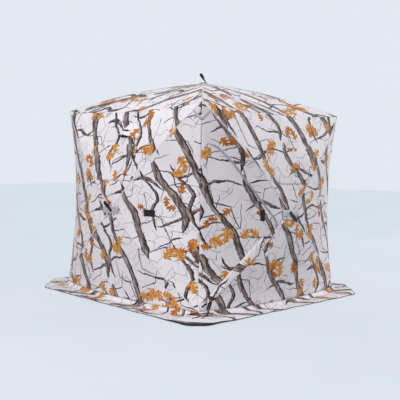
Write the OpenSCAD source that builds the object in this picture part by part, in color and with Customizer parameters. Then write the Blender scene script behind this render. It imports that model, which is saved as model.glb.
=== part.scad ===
// Pop-up ice fishing hut: four fabric walls and a fabric roof, each sprung
// outwards by a hub with four bowed rods, and a skirt that lies on the snow.
// Front (door) wall faces -Y, left wall faces -X, up is +Z, ground is z = 0.

/* [Shelter] */
// Width of each wall at the eaves, corner to corner
eave_w = 1900; // [1500:10:2600]
// Width of each wall at the bottom, corner to corner
base_w = 1900; // [1500:10:2600]
// Height of the four top corners above the ground
corner_h = 1750; // [1300:10:2200]
// Rise of the roof hub above the top corners
roof_rise = 307; // [150:1:500]
// How far the wall hubs stand out past the corners
hub_out = 185; // [80:5:300]
// Height of the wall hubs above the ground
hub_z = 822; // [600:1:1100]
// Height of the hem where the walls end and the skirt starts
hem_z = 36; // [15:1:80]

/* [Fabric] */
// Thickness of wall and roof fabric
fabric_t = 3; // [1.5:0.5:6]
// Outward bow of the wall rods
wall_bow = 50; // [20:1:90]
// Outward bow of the roof rods
roof_bow = 42; // [20:1:90]
// Inward pull of the corner seams at mid height, along each axis
seam_in = 50; // [0:1:90]
// Sag of the eave seams at mid width
eave_sag = 46; // [0:1:90]
// Inward pull of the eave seams at mid width
eave_in = 18; // [0:1:60]
// Outward bow of the wall hems at mid width
hem_out = 138; // [0:1:200]
// Gap left between sewn panels
seam_gap = 0.5; // [0.2:0.1:0.8]

/* [Skirt] */
// Reach of the skirt past the wall corners, square to the walls
skirt_w = 310; // [200:5:450]
// Thickness of the skirt
skirt_t = 4; // [2:0.5:8]
// Width of the cut across the three plain skirt corners, along each edge
skirt_cut = 360; // [100:5:500]
// Width of the cut across the skirt corner by the door
skirt_cut_door = 120; // [60:5:400]
// Width of the sloping part of the skirt next to the hem
skirt_rise_w = 45; // [20:1:80]

/* [Frame] */
// Diameter of the rods
rod_d = 11; // [7:0.5:16]
// Distance from each rod tip to its corner
rod_tip = 45; // [20:1:80]
// Gap between a rod and the fabric at its ridge
rod_gap = 2.9; // [2:0.1:5]
// Diameter of the hub body that carries the rods
hub_d = 60; // [50:1:64]
// Depth of the hub body behind the fabric
hub_depth = 34; // [24:1:60]
// Width of the patch plate outside the fabric at a wall hub
hub_plate_w = 226; // [100:2:260]
// Height of the patch plate
hub_plate_h = 62; // [62:1:100]
// Corner radius of the patch plate
hub_plate_r = 8; // [2:1:15]
// Thickness of the patch plate
hub_plate_t = 3; // [2:0.5:6]
// Gap between the hub plate and the fabric
hub_gap = 0.6; // [0.4:0.1:1]

/* [Pull straps] */
// Length of a pull strap from its hub
strap_len = 105; // [60:1:180]
// Angle at which the roof strap stands up
roof_strap_rise = 58; // [30:1:80]
// Width of the strap webbing
strap_w = 25; // [15:1:50]
// Thickness of the strap webbing
strap_t = 2.5; // [1.5:0.5:5]

/* [Windows] */
// Width of a window at its top
window_top_w = 690; // [300:5:720]
// Width of a window at its bottom
window_bottom_w = 400; // [200:5:420]
// Height of a window
window_h = 305; // [150:5:380]
// Height of the window bottoms above the hubs
window_rise = 268; // [200:1:400]
// Shift of the front and left windows away from the corner between them
window_shift = 50; // [0:5:100]
// Radius of the window corners
window_r = 45; // [10:1:80]
// Gap between a window cover and its opening
window_gap = 0.4; // [0.3:0.1:1]

/* [Vent] */
// Drop from the top corners to the top of the vent hood
vent_drop = 149; // [100:1:260]
// Height of the vent hood
vent_h = 148; // [80:1:220]
// Width of the vent hood
vent_w = 230; // [120:5:320]
// Distance of the vent from the middle of the left wall, towards the door
vent_x = 140; // [0:5:250]
// Reach of the open edge of the vent hood off the wall
vent_lift = 45; // [20:1:80]
// Width of the vent opening behind the hood
vent_hole_w = 150; // [60:5:200]
// Height of the vent opening
vent_hole_h = 60; // [30:5:90]

/* [Door] */
// Distance of the door hinge from the corner, along the wall
door_hinge_x = 75; // [65:1:140]
// Height of the bottom of the door hinge above the hem
door_bottom = 92; // [80:1:200]
// Drop from the rod down to the door head, at the hinge
door_head = 270; // [150:1:400]
// Gap round the door
door_gap = 0.8; // [0.5:0.1:2]
// Gap between the door and the wall at the hinge side
door_hinge_gap = 4; // [2:0.5:8]
// Gap under the foot of the door at the hinge side
door_foot_gap = 14; // [8:1:30]
// Distance from the hub middle to the tip of the door
door_tip = 175; // [120:5:260]
// Distance between the door edge and the rod below it
door_rod_gap = 24; // [18:1:60]
// Width of the storm flap above the rod
flap_up = 86; // [50:1:120]
// Width of the storm flap below the rod
flap_down = 58; // [30:1:100]
// Height of the hook-and-loop patch on the door
patch_h = 96; // [50:1:150]
// Width of the hook-and-loop patch on the door
patch_w = 47; // [25:1:80]
// Distance of the patch on the door from the hub, along the wall
patch_x = 350; // [260:5:420]
// Distance of the matching patch on the left wall from its hub
keeper_x = 472; // [300:2:600]
// Width of the matching patch
keeper_w = 112; // [60:2:200]
// Height of the matching patch
keeper_h = 56; // [30:1:100]

/* [Hidden] */

cells = 6;               // grid cells each way on a panel
eps_u = 0.0003;          // panel edge held back at its seam
peak_h = corner_h + roof_rise;
rod_r = rod_d / 2;
rod_inset = fabric_t + rod_gap + rod_r;
rod_end_gap = 0.6;       // between a rod and the hub body
strap_gap = 0.3;         // between a pull strap and its hub plate
roof_strap_back = 14;    // from the roof hub's middle back to the root of its strap
vent_hole_low = 20;      // drop of the vent opening below the middle of its hood

white = [0.86, 0.85, 0.88];
grey = [0.62, 0.61, 0.66];
black = [0.08, 0.08, 0.09];

function lerp(a, b, t) = a + (b - a) * t;
function unit(v) = v / norm(v);

// Wall points as seen from outside: x to the right, y outwards is negative
wall_hub = [0, -max(base_w, eave_w) / 2 - hub_out, hub_z];
c_tl = [-eave_w / 2, -eave_w / 2, corner_h];
c_tr = [eave_w / 2, -eave_w / 2, corner_h];
c_bl = [-base_w / 2, -base_w / 2, hem_z];
c_br = [base_w / 2, -base_w / 2, hem_z];
roof_hub_pt = [0, 0, peak_h];
out_wall = [0, -1, 0];
out_roof = [0, 0, 1];

// Bowed rod line: a circular arc from p to q, bowed by h towards n
function arc_r(c, h) = (c * c / 4 + h * h) / (2 * h);
function bow_dir(p, q, n) = let (d = unit(q - p)) unit(n - d * (n * d));
function bow_pt(p, q, n, h, u) =
    let (c = norm(q - p), r = arc_r(c, h), x = c * (u - 0.5))
    lerp(p, q, u) + bow_dir(p, q, n) * (sqrt(r * r - x * x) - (r - h));

// Fabric follows the rod line cell by cell
function cell_of(u) = min(cells - 1, max(0, floor(u * cells)));
function rod_line(p, q, n, h, u) =
    let (k = cell_of(u), f = u * cells - k)
    lerp(bow_pt(p, q, n, h, k / cells), bow_pt(p, q, n, h, (k + 1) / cells), f);
function bump(v) = 4 * v * (1 - v);
function bump_line(v) = let (k = cell_of(v), f = v * cells - k) lerp(bump(k / cells), bump((k + 1) / cells), f);
function square_line(u) = let (k = cell_of(u), f = u * cells - k) lerp(pow(k / cells, 2), pow((k + 1) / cells, 2), f);

// A facet is [hub, corner a, corner b, outward, bow, edge pull at mid width]
wall_facets = [
    [wall_hub, c_tr, c_tl, out_wall, wall_bow, [0, eave_in, -eave_sag]],
    [wall_hub, c_tl, c_bl, out_wall, wall_bow, [seam_in, seam_in, 0]],
    [wall_hub, c_bl, c_br, out_wall, wall_bow, [0, -hem_out, 0]],
    [wall_hub, c_br, c_tr, out_wall, wall_bow, [-seam_in, seam_in, 0]]];
roof_facet = [roof_hub_pt, c_tl, c_tr, out_roof, roof_bow, [0, eave_in, -eave_sag]];

function facet_pt(f, u, v) =
    lerp(rod_line(f[0], f[1], f[3], f[4], u), rod_line(f[0], f[2], f[3], f[4], u), v)
    + f[5] * (square_line(u) * bump_line(v));

// Inward offset of the fabric's back face: along the wall, and mitred at its seams
function back_off(f, u, v, e, ca, cb) = fabric_t * (u < 0.99 ? -f[3] : v < 0.01 ? ca : v > 0.99 ? cb : e);

// Share of the way out at which a panel starts, clear of the hub body
function u_start(f) =
    let (w = f[0] - f[1], flat = w - f[3] * (f[3] * w))
    (hub_d / 2 + 2) / norm(cross(unit(f[2] - f[1]), flat));

// A closed sheet from two grids of points, given row by row
module sheet(front, back, rows, cols) {
    m = len(front);
    function id(i, j) = i * (cols + 1) + j;
    polyhedron(points = concat(front, back), faces = concat(
        [for (i = [0 : rows - 1], j = [0 : cols - 1]) [id(i, j), id(i, j + 1), id(i + 1, j + 1)]],
        [for (i = [0 : rows - 1], j = [0 : cols - 1]) [id(i, j), id(i + 1, j + 1), id(i + 1, j)]],
        [for (i = [0 : rows - 1], j = [0 : cols - 1]) [m + id(i, j), m + id(i + 1, j + 1), m + id(i, j + 1)]],
        [for (i = [0 : rows - 1], j = [0 : cols - 1]) [m + id(i, j), m + id(i + 1, j), m + id(i + 1, j + 1)]],
        [for (i = [0 : rows - 1]) [id(i, 0), id(i + 1, 0), m + id(i + 1, 0)]],
        [for (i = [0 : rows - 1]) [id(i, 0), m + id(i + 1, 0), m + id(i, 0)]],
        [for (i = [0 : rows - 1]) [id(i + 1, cols), id(i, cols), m + id(i + 1, cols)]],
        [for (i = [0 : rows - 1]) [id(i, cols), m + id(i, cols), m + id(i + 1, cols)]],
        [for (j = [0 : cols - 1]) [id(0, j + 1), id(0, j), m + id(0, j)]],
        [for (j = [0 : cols - 1]) [id(0, j + 1), m + id(0, j), m + id(0, j + 1)]],
        [for (j = [0 : cols - 1])
            [id(rows, j), id(rows, j + 1), m + id(rows, 2 * j < cols ? j + 1 : j)]],
        [for (j = [0 : cols - 1])
            [2 * j < cols ? id(rows, j) : id(rows, j + 1), m + id(rows, j + 1), m + id(rows, j)]]));
}

// One fabric panel; e, ca and cb turn its back face at the edge and two corners
module panel(f, e, ca, cb) {
    us = [for (i = [0 : cells]) i == 0 ? u_start(f) : i == cells ? 1 - eps_u : i / cells];
    function vs(u) = let (m = seam_gap / 2 / norm(f[1] - f[2]))
        [for (j = [0 : cells]) j == 0 ? m : j == cells ? 1 - m : j / cells];
    front = [for (u = us, v = vs(u)) facet_pt(f, u, v)];
    back = [for (u = us, v = vs(u)) facet_pt(f, u, v) + back_off(f, u, v, e, ca, cb)];
    sheet(front, back, cells, cells);
}

module wall_panel(i) {
    tl = [1, 1, -1];
    tr = [-1, 1, -1];
    bl = [1, 1, 0];
    br = [-1, 1, 0];
    if (i == 0) panel(wall_facets[0], [0, 1, -1], tr, tl);
    if (i == 1) panel(wall_facets[1], [1, 1, 0], tl, bl);
    if (i == 2) panel(wall_facets[2], [0, 1, 0], bl, br);
    if (i == 3) panel(wall_facets[3], [-1, 1, 0], br, tr);
}

module roof_panel() panel(roof_facet, [0, 1, -1], [1, 1, -1], [-1, 1, -1]);

// A patch that lies over part of a facet: rows run from the hub out
module patch(f, us, vfun, lift, t, cols) {
    rows = len(us) - 1;
    back = [for (i = [0 : rows], j = [0 : cols])
        facet_pt(f, us[i], vfun(us[i], j / cols)) + f[3] * lift(i / rows, j / cols)];
    front = [for (p = back) p + f[3] * t];
    sheet(front, back, rows, cols);
}

// One bowed rod, just behind the fabric ridge from p to q
module rod(p, q, n, h) {
    c = norm(q - p);
    r = arc_r(c, h);
    d = unit(q - p);
    b = bow_dir(p, q, n);
    s = cross(d, b);
    o = (p + q) / 2 - b * (r - h);
    ra = r - rod_inset;
    half = asin(c / 2 / r);
    w = unit(d - n * (n * d));
    lean = rod_inset * ((b * w) * cos(half) - (d * w) * sin(half));
    a0 = asin((c / 2 - (hub_d / 2 + rod_end_gap + max(0, lean)) / (d * w)) / r);
    a1 = asin((c / 2 - rod_tip) / r);
    multmatrix([[b[0], d[0], -s[0], o[0]], [b[1], d[1], -s[1], o[1]], [b[2], d[2], -s[2], o[2]], [0, 0, 0, 1]])
        rotate([0, 0, -a0])
            rotate_extrude(angle = a0 + a1, $fn = 180) translate([ra, 0]) circle(d = rod_d, $fn = 16);
}

module wall_rods() color(black) for (q = [c_tr, c_tl, c_bl, c_br]) rod(wall_hub, q, out_wall, wall_bow);

// Hub: body through the fabric and a patch plate outside it, facing +Z at the origin
module hub(plate_w) {
    r = hub_plate_r;
    translate([0, 0, -hub_depth]) cylinder(d = hub_d, h = hub_depth + hub_gap + hub_plate_t / 2, $fn = 64);
    translate([0, 0, hub_gap]) linear_extrude(hub_plate_t) {
        square([plate_w, hub_plate_h - 2 * r], center = true);
        square([plate_w - 2 * r, hub_plate_h], center = true);
        for (x = [-1, 1], y = [-1, 1])
            translate([x * (plate_w / 2 - r), y * (hub_plate_h / 2 - r)]) circle(r, $fn = 32);
    }
}

// Pull strap: a flat loop of webbing that leaves the hub plate, in the XZ plane
function loop_outline(l, w, g) = concat(
    [for (p = [[0, 0], [0.35, 1], [0.7, 5], [0.92, 7], [1, 12], [0.97, 17], [0.85, 19], [0.6, 17], [0.3, 9]])
        [l * p[0], g + p[1]]],
    [[0, g + w * 2]]);
module pull_strap() {
    g = hub_gap + hub_plate_t + strap_gap;
    rotate([90, 0, 0]) translate([0, 0, -strap_w / 2]) linear_extrude(strap_w)
        polygon(concat(loop_outline(strap_len, strap_t, g),
            [for (p = [[0.3, 9 - strap_t], [0.6, 17 - strap_t], [0.83, 19 - strap_t], [0.93, 17 - strap_t],
                       [0.96, 12.5], [0.9, 7 + strap_t], [0.7, 5 + strap_t], [0.35, 1 + strap_t], [0.05, strap_t]])
                [strap_len * p[0], g + p[1]]]));
}

module window_outline(grow, x) {
    z0 = hub_z + window_rise;
    z1 = z0 + window_h;
    b = window_bottom_w / 2 - window_r;
    t = window_top_w / 2 - window_r;
    translate([x, 0]) offset(r = window_r + grow)
        polygon([[-b, z0 + window_r], [b, z0 + window_r], [t, z1 - window_r], [-t, z1 - window_r]]);
}
module through_wall() rotate([90, 0, 0]) linear_extrude(base_w) children();

function top_share(z) = (z - hub_z) / (corner_h - hub_z);
vent_u = [top_share(corner_h - vent_drop - vent_h), top_share(corner_h - vent_drop)];
vent_z = corner_h - vent_drop - vent_h / 2;
module vent_outline()
    translate([vent_x - vent_hole_w / 2, vent_z - vent_hole_h / 2 - vent_hole_low]) square([vent_hole_w, vent_hole_h]);

module top_panel(window_x = 0, vent = false) color(white) difference() {
    wall_panel(0);
    through_wall() window_outline(0, window_x);
    if (vent) through_wall() vent_outline();
}
module window_cover(window_x = 0) color(grey) intersection() {
    wall_panel(0);
    through_wall() window_outline(-window_gap, window_x);
}

function across(x, u) = 0.5 - x / (eave_w * u);
module vent_hood() color(white)
    patch(wall_facets[0], [for (i = [0 : 4]) lerp(vent_u[0], vent_u[1], i / 4)],
        function (u, s) across(vent_x + vent_w * (0.5 - s) * (u > lerp(vent_u[0], vent_u[1], 0.9) ? 0.8 : 1), u),
        function (a, s) 0.5 + vent_lift * (1 - a) * bump(s), 2.5, 8);

// Door outline on the wall, x to the right and z up
rod_slope = (hub_z - hem_z) / (base_w / 2);
function door_low(x) = hub_z + rod_slope * x + door_rod_gap / cos(atan(rod_slope));
function rod_high(x) = hub_z - (corner_h - hub_z) * x / (eave_w / 2);
door_x0 = -min(base_w, eave_w) / 2 + door_hinge_x;
door_top = rod_high(door_x0) - door_head;
door_top_share = [[0.03, 1], [0.09, 0.985], [0.17, 0.92], [0.30, 0.80], [0.46, 0.615], [0.62, 0.44],
                  [0.80, 0.255], [0.93, 0.13], [0.985, 0.06]];
module door_outline(grow) {
    x1 = -door_tip;
    z1 = door_low(x1);
    offset(delta = grow) polygon(concat([[door_x0, hem_z + door_bottom], [door_x0, door_top - 4]],
        [for (p = door_top_share) [lerp(door_x0, x1, p[0]), lerp(z1, door_top, p[1])]],
        [[x1, z1 + 6], [x1 - 4, door_low(x1 - 4)], [door_x0 + 6, door_low(door_x0 + 6)]]));
}

module front_door_surround() color(white) difference() {
    wall_panel(1);
    through_wall() door_outline(0);
}
module door_panel() color(white) intersection() {
    wall_panel(1);
    through_wall() intersection() {
        door_outline(-door_gap);
        translate([door_x0 + door_hinge_gap, hem_z + door_bottom + door_foot_gap]) square([base_w, corner_h]);
    }
}

// Storm flap: a band over the rod below the door, sewn to the door
module door_storm_flap() color(grey) {
    us = [for (k = [1 : 5]) k / cells];
    ups = concat([0.13], us, [0.87]);
    t = 2;
    g = 0.9;
    f1 = wall_facets[1];
    f2 = wall_facets[2];
    side = corner_h - hem_z;
    pts = [for (u = ups) [
        facet_pt(f1, u, 1 - min(0.6, flap_up / (side * u))) - [0, g + 1, 0],
        facet_pt(f1, u, 1 - min(0.3, flap_up / 2 / (side * u))) - [0, g + 0.5, 0],
        facet_pt(f1, u, 1) - [0, g, 0],
        facet_pt(f2, u, min(0.3, flap_down / (base_w * u))) - [0, g + 1 + 3 * u, 0]]];
    rows = len(ups) - 1;
    back = [for (i = [0 : rows], j = [0 : 3]) pts[i][j]];
    front = [for (p = back) p - [0, t, 0]];
    sheet(front, back, rows, 3);
}

// Hook-and-loop patch on a side panel: x and z are its middle, w and h its size
module hook_patch(i, x, z, w, h) color(black) {
    f = wall_facets[i];
    uc = abs(x) / (eave_w / 2);
    du = w / eave_w;
    low = function (u) lerp(hub_z, hem_z, u);
    high = function (u) lerp(hub_z, corner_h, u);
    share = function (u, zz) let (s = (zz - low(u)) / (high(u) - low(u))) i == 1 ? 1 - s : s;
    side = i == 1 ? -1 : 1;
    inner = [for (k = [1 : cells - 1]) if (abs(k / cells - uc) < du - 0.004) k / cells];
    us = concat([uc - du], inner, [uc + du]);
    patch(f, us,
        function (u, s) share(u, z - side * (0.5 - s) * h), function (a, s) 0.6, 2, 2);
}

// Skirt: flat on the snow with a sloping inner part up to the hem
function hem_curve(grow) = [for (k = [0 : 3], j = [0 : 7])
    let (v = j / 8, p = lerp(c_bl, c_br, v) + [0, -hem_out * bump(v), 0], q = [p[0], p[1] - grow],
         a = 90 * k, c = cos(a), s = sin(a),
         e = j == 0 ? [p[0] - grow, p[1] - grow] : q)
    [e[0] * c - e[1] * s, e[0] * s + e[1] * c]];
skirt_r = base_w / 2 + skirt_w;
function skirt_edge() = concat(
    [for (p = [[0, 1], [0.42, 0.42], [1, 0]]) p * skirt_cut_door - [skirt_r, skirt_r]],
    [for (k = [1 : 3], p = [[-skirt_r, -skirt_r + skirt_cut], [-skirt_r + skirt_cut, -skirt_r]])
        let (c = cos(90 * k), s = sin(90 * k)) [p[0] * c - p[1] * s, p[0] * s + p[1] * c]]);
module skirt() color(grey) {
    in0 = hem_curve(-fabric_t);
    in1 = hem_curve(skirt_rise_w);
    n = len(in0);
    linear_extrude(skirt_t) difference() {
        polygon(skirt_edge());
        polygon(in1);
    }
    top = hem_z - 0.4;
    a = concat([for (p = in0) [p[0], p[1], top - skirt_t]], [for (p = in0) [p[0], p[1], top]],
        [for (p = hem_curve(0)) [p[0], p[1], top]],
        [for (p = hem_curve(skirt_rise_w + 3)) [p[0], p[1], skirt_t]],
        [for (p = hem_curve(skirt_rise_w + 3)) [p[0], p[1], 0]],
        [for (p = hem_curve(skirt_rise_w - 6)) [p[0], p[1], 0]]);
    rings = 6;
    polyhedron(a, [for (k = [0 : rings - 1], i = [0 : n - 1], t = [0, 1])
        let (k2 = (k + 1) % rings, i2 = (i + 1) % n)
        t == 0 ? [k * n + i, k * n + i2, k2 * n + i2] : [k * n + i, k2 * n + i2, k2 * n + i]]);
}

module on_wall(k) rotate([0, 0, -90 * k]) children();
// How far behind the hub point the fabric's inner edge lies
function hub_drop(f) = min([for (v = [0, 1]) (f[0] - facet_pt(f, u_start(f), v)) * f[3]]);
module at_wall_hub() translate(wall_hub - out_wall * hub_drop(wall_facets[1])) rotate([90, 0, 0]) children();
module wall_hub_piece(k) color(grey) on_wall(k) at_wall_hub() hub(hub_plate_w);
module wall_strap(k, a) color(black) on_wall(k) at_wall_hub() rotate([0, 0, a]) pull_strap();

module roof_front_panel() color(white) roof_panel();
module roof_left_panel() color(white) on_wall(1) roof_panel();
module roof_back_panel() color(white) on_wall(2) roof_panel();
module roof_right_panel() color(white) on_wall(3) roof_panel();
module roof_rods() color(black) for (k = [0 : 3]) on_wall(k) rod(roof_hub_pt, c_tl, out_roof, roof_bow);
module roof_hub() color(grey) translate(roof_hub_pt) hub(hub_plate_h);
module roof_pull_strap() color(black) translate(roof_hub_pt) rotate([0, 0, 135])
    translate([-roof_strap_back, 0, (hub_gap + hub_plate_t + strap_gap) * (1 - cos(roof_strap_rise))])
        rotate([0, -roof_strap_rise, 0]) pull_strap();

roof_front_panel();
roof_right_panel();
roof_back_panel();
roof_left_panel();
roof_rods();
roof_hub();
roof_pull_strap();
top_panel(window_shift);  // front_top_panel
color(white) wall_panel(3);  // front_right_panel
color(white) wall_panel(2);  // front_bottom_panel
front_door_surround();
wall_rods();  // front_rods
wall_hub_piece(0);  // front_hub
wall_strap(0, -45);  // front_pull_strap
window_cover(window_shift);  // front_window_cover
on_wall(1) top_panel(-window_shift, true);  // left_top_panel
color(white) on_wall(1) wall_panel(1);  // left_back_panel
color(white) on_wall(1) wall_panel(2);  // left_bottom_panel
color(white) on_wall(1) wall_panel(3);  // left_front_panel
on_wall(1) wall_rods();  // left_rods
wall_hub_piece(1);  // left_hub
wall_strap(1, 140);  // left_pull_strap
on_wall(1) window_cover(-window_shift);  // left_window_cover
on_wall(1) vent_hood();  // left_vent_hood
on_wall(1) hook_patch(3, keeper_x, hub_z - 4, keeper_w, keeper_h);  // left_hook_patch
on_wall(2) top_panel();  // back_top_panel
color(white) on_wall(2) wall_panel(1);  // back_side_panel_left
color(white) on_wall(2) wall_panel(2);  // back_bottom_panel
color(white) on_wall(2) wall_panel(3);  // back_side_panel_right
on_wall(2) wall_rods();  // back_rods
wall_hub_piece(2);  // back_hub
wall_strap(2, -45);  // back_pull_strap
on_wall(2) window_cover();  // back_window_cover
on_wall(3) top_panel();  // right_top_panel
color(white) on_wall(3) wall_panel(1);  // right_side_panel_front
color(white) on_wall(3) wall_panel(2);  // right_bottom_panel
color(white) on_wall(3) wall_panel(3);  // right_side_panel_back
on_wall(3) wall_rods();  // right_rods
wall_hub_piece(3);  // right_hub
wall_strap(3, -45);  // right_pull_strap
on_wall(3) window_cover();  // right_window_cover
skirt();
door_panel();
door_storm_flap();
hook_patch(1, -patch_x, hub_z - 8, patch_w, patch_h);  // door_hook_patch
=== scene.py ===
"""Pop-up ice fishing shelter: printed fabric, seams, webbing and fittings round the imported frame."""

import logging
import math
from dataclasses import dataclass
from enum import Enum
from typing import Callable, Sequence

import bpy
import numpy as np
from mathutils import Matrix, Vector
from mathutils.geometry import delaunay_2d_cdt


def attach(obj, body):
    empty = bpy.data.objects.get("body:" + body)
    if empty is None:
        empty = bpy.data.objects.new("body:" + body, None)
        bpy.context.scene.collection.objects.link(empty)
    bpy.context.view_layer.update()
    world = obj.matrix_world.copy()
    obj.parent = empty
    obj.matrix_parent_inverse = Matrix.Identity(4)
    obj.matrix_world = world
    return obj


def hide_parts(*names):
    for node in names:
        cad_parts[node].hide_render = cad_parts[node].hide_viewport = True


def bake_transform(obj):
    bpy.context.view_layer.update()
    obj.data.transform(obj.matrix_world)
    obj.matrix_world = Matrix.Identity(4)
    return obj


LOG = logging.getLogger("ice_shelter")
SHELTER = "shelter"
DOOR = "door"
WALLS = ("front", "left", "back", "right")
UV_NAME = "cut"
DOOR_CUT = 7  # where on the print the door and the window covers were cut
WINDOW_CUT = 11
CLOTH_T = 0.0025  # thickness of the walls, roof, door and skirt
LINING_SLOT = 1  # the material slot of a cloth's inner face
TRIANGLE_HEIGHT = 0.866  # of a triangle with sides of one

Array = np.ndarray
Piece = bpy.types.Object
Finish = bpy.types.Material
Socket = bpy.types.NodeSocket
Place = tuple[float, float, float]
Colour = tuple[float, float, float, float]
Phase = Callable[[Array, Array], Array]


class Slot(str, Enum):
    """The record's material slot names."""

    FABRIC = "fabric"
    COVER = "cover"
    SKIRT = "skirt"
    WEBBING = "webbing"
    HUB = "hub"


class Side(Enum):
    """The four facets of a wall, in the order in which they meet round the hub."""

    TOP = 0
    LEFT = 1
    BOTTOM = 2
    RIGHT = 3


class StrokePart(Enum):
    """The two curves that make up a painted stroke."""

    LINE = "line"
    HALF = "half"


class Bend(Enum):
    """How a painted stroke turns at its points."""

    SMOOTH = "AUTO"
    ANGULAR = "VECTOR"


# ---- small maths


def unit(vector: Array) -> Array:
    """Scale a vector to length one."""
    return vector / np.linalg.norm(vector)


def turned(points: Array, wall: int) -> Array:
    """Turn points from the front wall to another wall.

    Args:
        points: Rows of x, y, z on the front wall.
        wall: 0 front, 1 left, 2 back, 3 right.

    Returns:
        The turned points, as a new array.
    """
    angle = -math.pi / 2 * wall
    c, s = round(math.cos(angle)), round(math.sin(angle))
    out = np.array(points, dtype=float, copy=True)
    out[:, 0] = c * points[:, 0] - s * points[:, 1]
    out[:, 1] = s * points[:, 0] + c * points[:, 1]
    return out


def smooth_step(low: float, high: float, value: Array) -> Array:
    """Ease from 0 at low to 1 at high."""
    t = np.clip((value - low) / (high - low), 0.0, 1.0)
    return t * t * (3.0 - 2.0 * t)


def inside(points: Array, loop: Array) -> Array:
    """Say which flat points lie inside a closed loop.

    Args:
        points: Rows of two coordinates.
        loop: The loop's corners in order, without a repeated last one.

    Returns:
        One boolean for each point.
    """
    result = np.zeros(len(points), dtype=bool)
    x, y = points[:, 0], points[:, 1]
    for (x0, y0), (x1, y1) in zip(loop, np.roll(loop, -1, axis=0)):
        if y0 == y1:
            continue
        crosses = (y0 > y) != (y1 > y)
        result ^= crosses & (x < (x1 - x0) * (y - y0) / (y1 - y0) + x0)
    return result


def distance_to_lines(points: Array, lines: Sequence[Array]) -> Array:
    """Measure how far flat points are from the nearest of several polylines.

    Args:
        points: Rows of two coordinates.
        lines: Polylines, each as rows of two coordinates.

    Returns:
        One distance for each point.
    """
    best = np.full(len(points), np.inf)
    for line in lines:
        for a, b in zip(line[:-1], line[1:]):
            d = b - a
            length = float(d @ d)
            if length == 0.0:
                continue
            t = np.clip(((points - a) @ d) / length, 0.0, 1.0)
            gap = points - (a + t[:, None] * d)
            best = np.minimum(best, np.einsum("ij,ij->i", gap, gap))
    return np.sqrt(best)


def lengths_along(line: Array) -> Array:
    """How far along a polyline each of its points lies."""
    return np.concatenate([[0.0], np.cumsum(np.linalg.norm(np.diff(line, axis=0), axis=1))])


def line_normals(line: Array) -> Array:
    """Unit normals of an open flat polyline, to its left."""
    tangent = np.gradient(line, axis=0)
    return np.column_stack([-tangent[:, 1], tangent[:, 0]]) / np.linalg.norm(tangent, axis=1)[:, None]


def softened(line: Array) -> Array:
    """Cut the corners of an open polyline twice, with its ends kept.

    Args:
        line: Rows of coordinates.

    Returns:
        The rounder polyline.
    """
    for _ in range(2):
        middle = np.empty((2 * len(line) - 2, line.shape[1]))
        middle[0::2] = line[:-1] * 0.75 + line[1:] * 0.25
        middle[1::2] = line[:-1] * 0.25 + line[1:] * 0.75
        line = np.vstack([line[:1], middle, line[-1:]])
    return line


def resampled(line: Array, step: float) -> Array:
    """Put points along a polyline about every step, with its ends kept.

    Args:
        line: Rows of coordinates.
        step: Wanted distance between points.

    Returns:
        The new polyline.
    """
    lengths = lengths_along(line)
    count = max(2, int(round(lengths[-1] / step)) + 1)
    at = np.linspace(0.0, lengths[-1], count)
    return np.column_stack([np.interp(at, lengths, line[:, i]) for i in range(line.shape[1])])


def closed(loop: Array) -> Array:
    """Repeat a loop's first point at its end."""
    return np.vstack([loop, loop[:1]])


def rounded_polygon(corners: Sequence[tuple[float, float]], radius: float, steps: int = 6) -> Array:
    """Round the corners of a flat polygon with arcs.

    Args:
        corners: The polygon's corners in order.
        radius: Radius of each arc.
        steps: Segments in each arc.

    Returns:
        The rounded loop.
    """
    points = []
    n = len(corners)
    for i in range(n):
        before, here, after = (np.array(corners[(i + k) % n], dtype=float) for k in (-1, 0, 1))
        a, b = unit(before - here), unit(after - here)
        half = math.acos(float(np.clip(a @ b, -1.0, 1.0))) / 2.0
        reach = radius / math.tan(half)
        middle = here + unit(a + b) * (radius / math.sin(half))
        start, end = here + a * reach - middle, here + b * reach - middle
        total = math.pi - 2.0 * half
        turn = math.copysign(total, start[0] * end[1] - start[1] * end[0])
        for k in range(steps + 1):
            c, s = math.cos(turn * k / steps), math.sin(turn * k / steps)
            points.append(middle + np.array([c * start[0] - s * start[1], s * start[0] + c * start[1]]))
    return np.array(points)


# ---- the shelter's form


@dataclass(frozen=True)
class ShelterSizes:
    """The shelter's driving sizes in metres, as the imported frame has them."""

    eave: float = 1.9
    base: float = 1.9
    corner_h: float = 1.75
    roof_rise: float = 0.307
    hub_out: float = 0.185
    hub_z: float = 0.822
    hem_z: float = 0.036
    wall_bow: float = 0.050
    roof_bow: float = 0.042
    seam_in: float = 0.050
    eave_sag: float = 0.046
    eave_in: float = 0.018
    hem_out: float = 0.138
    wall_folds: float = 0.006
    roof_folds: float = 0.002


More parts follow.
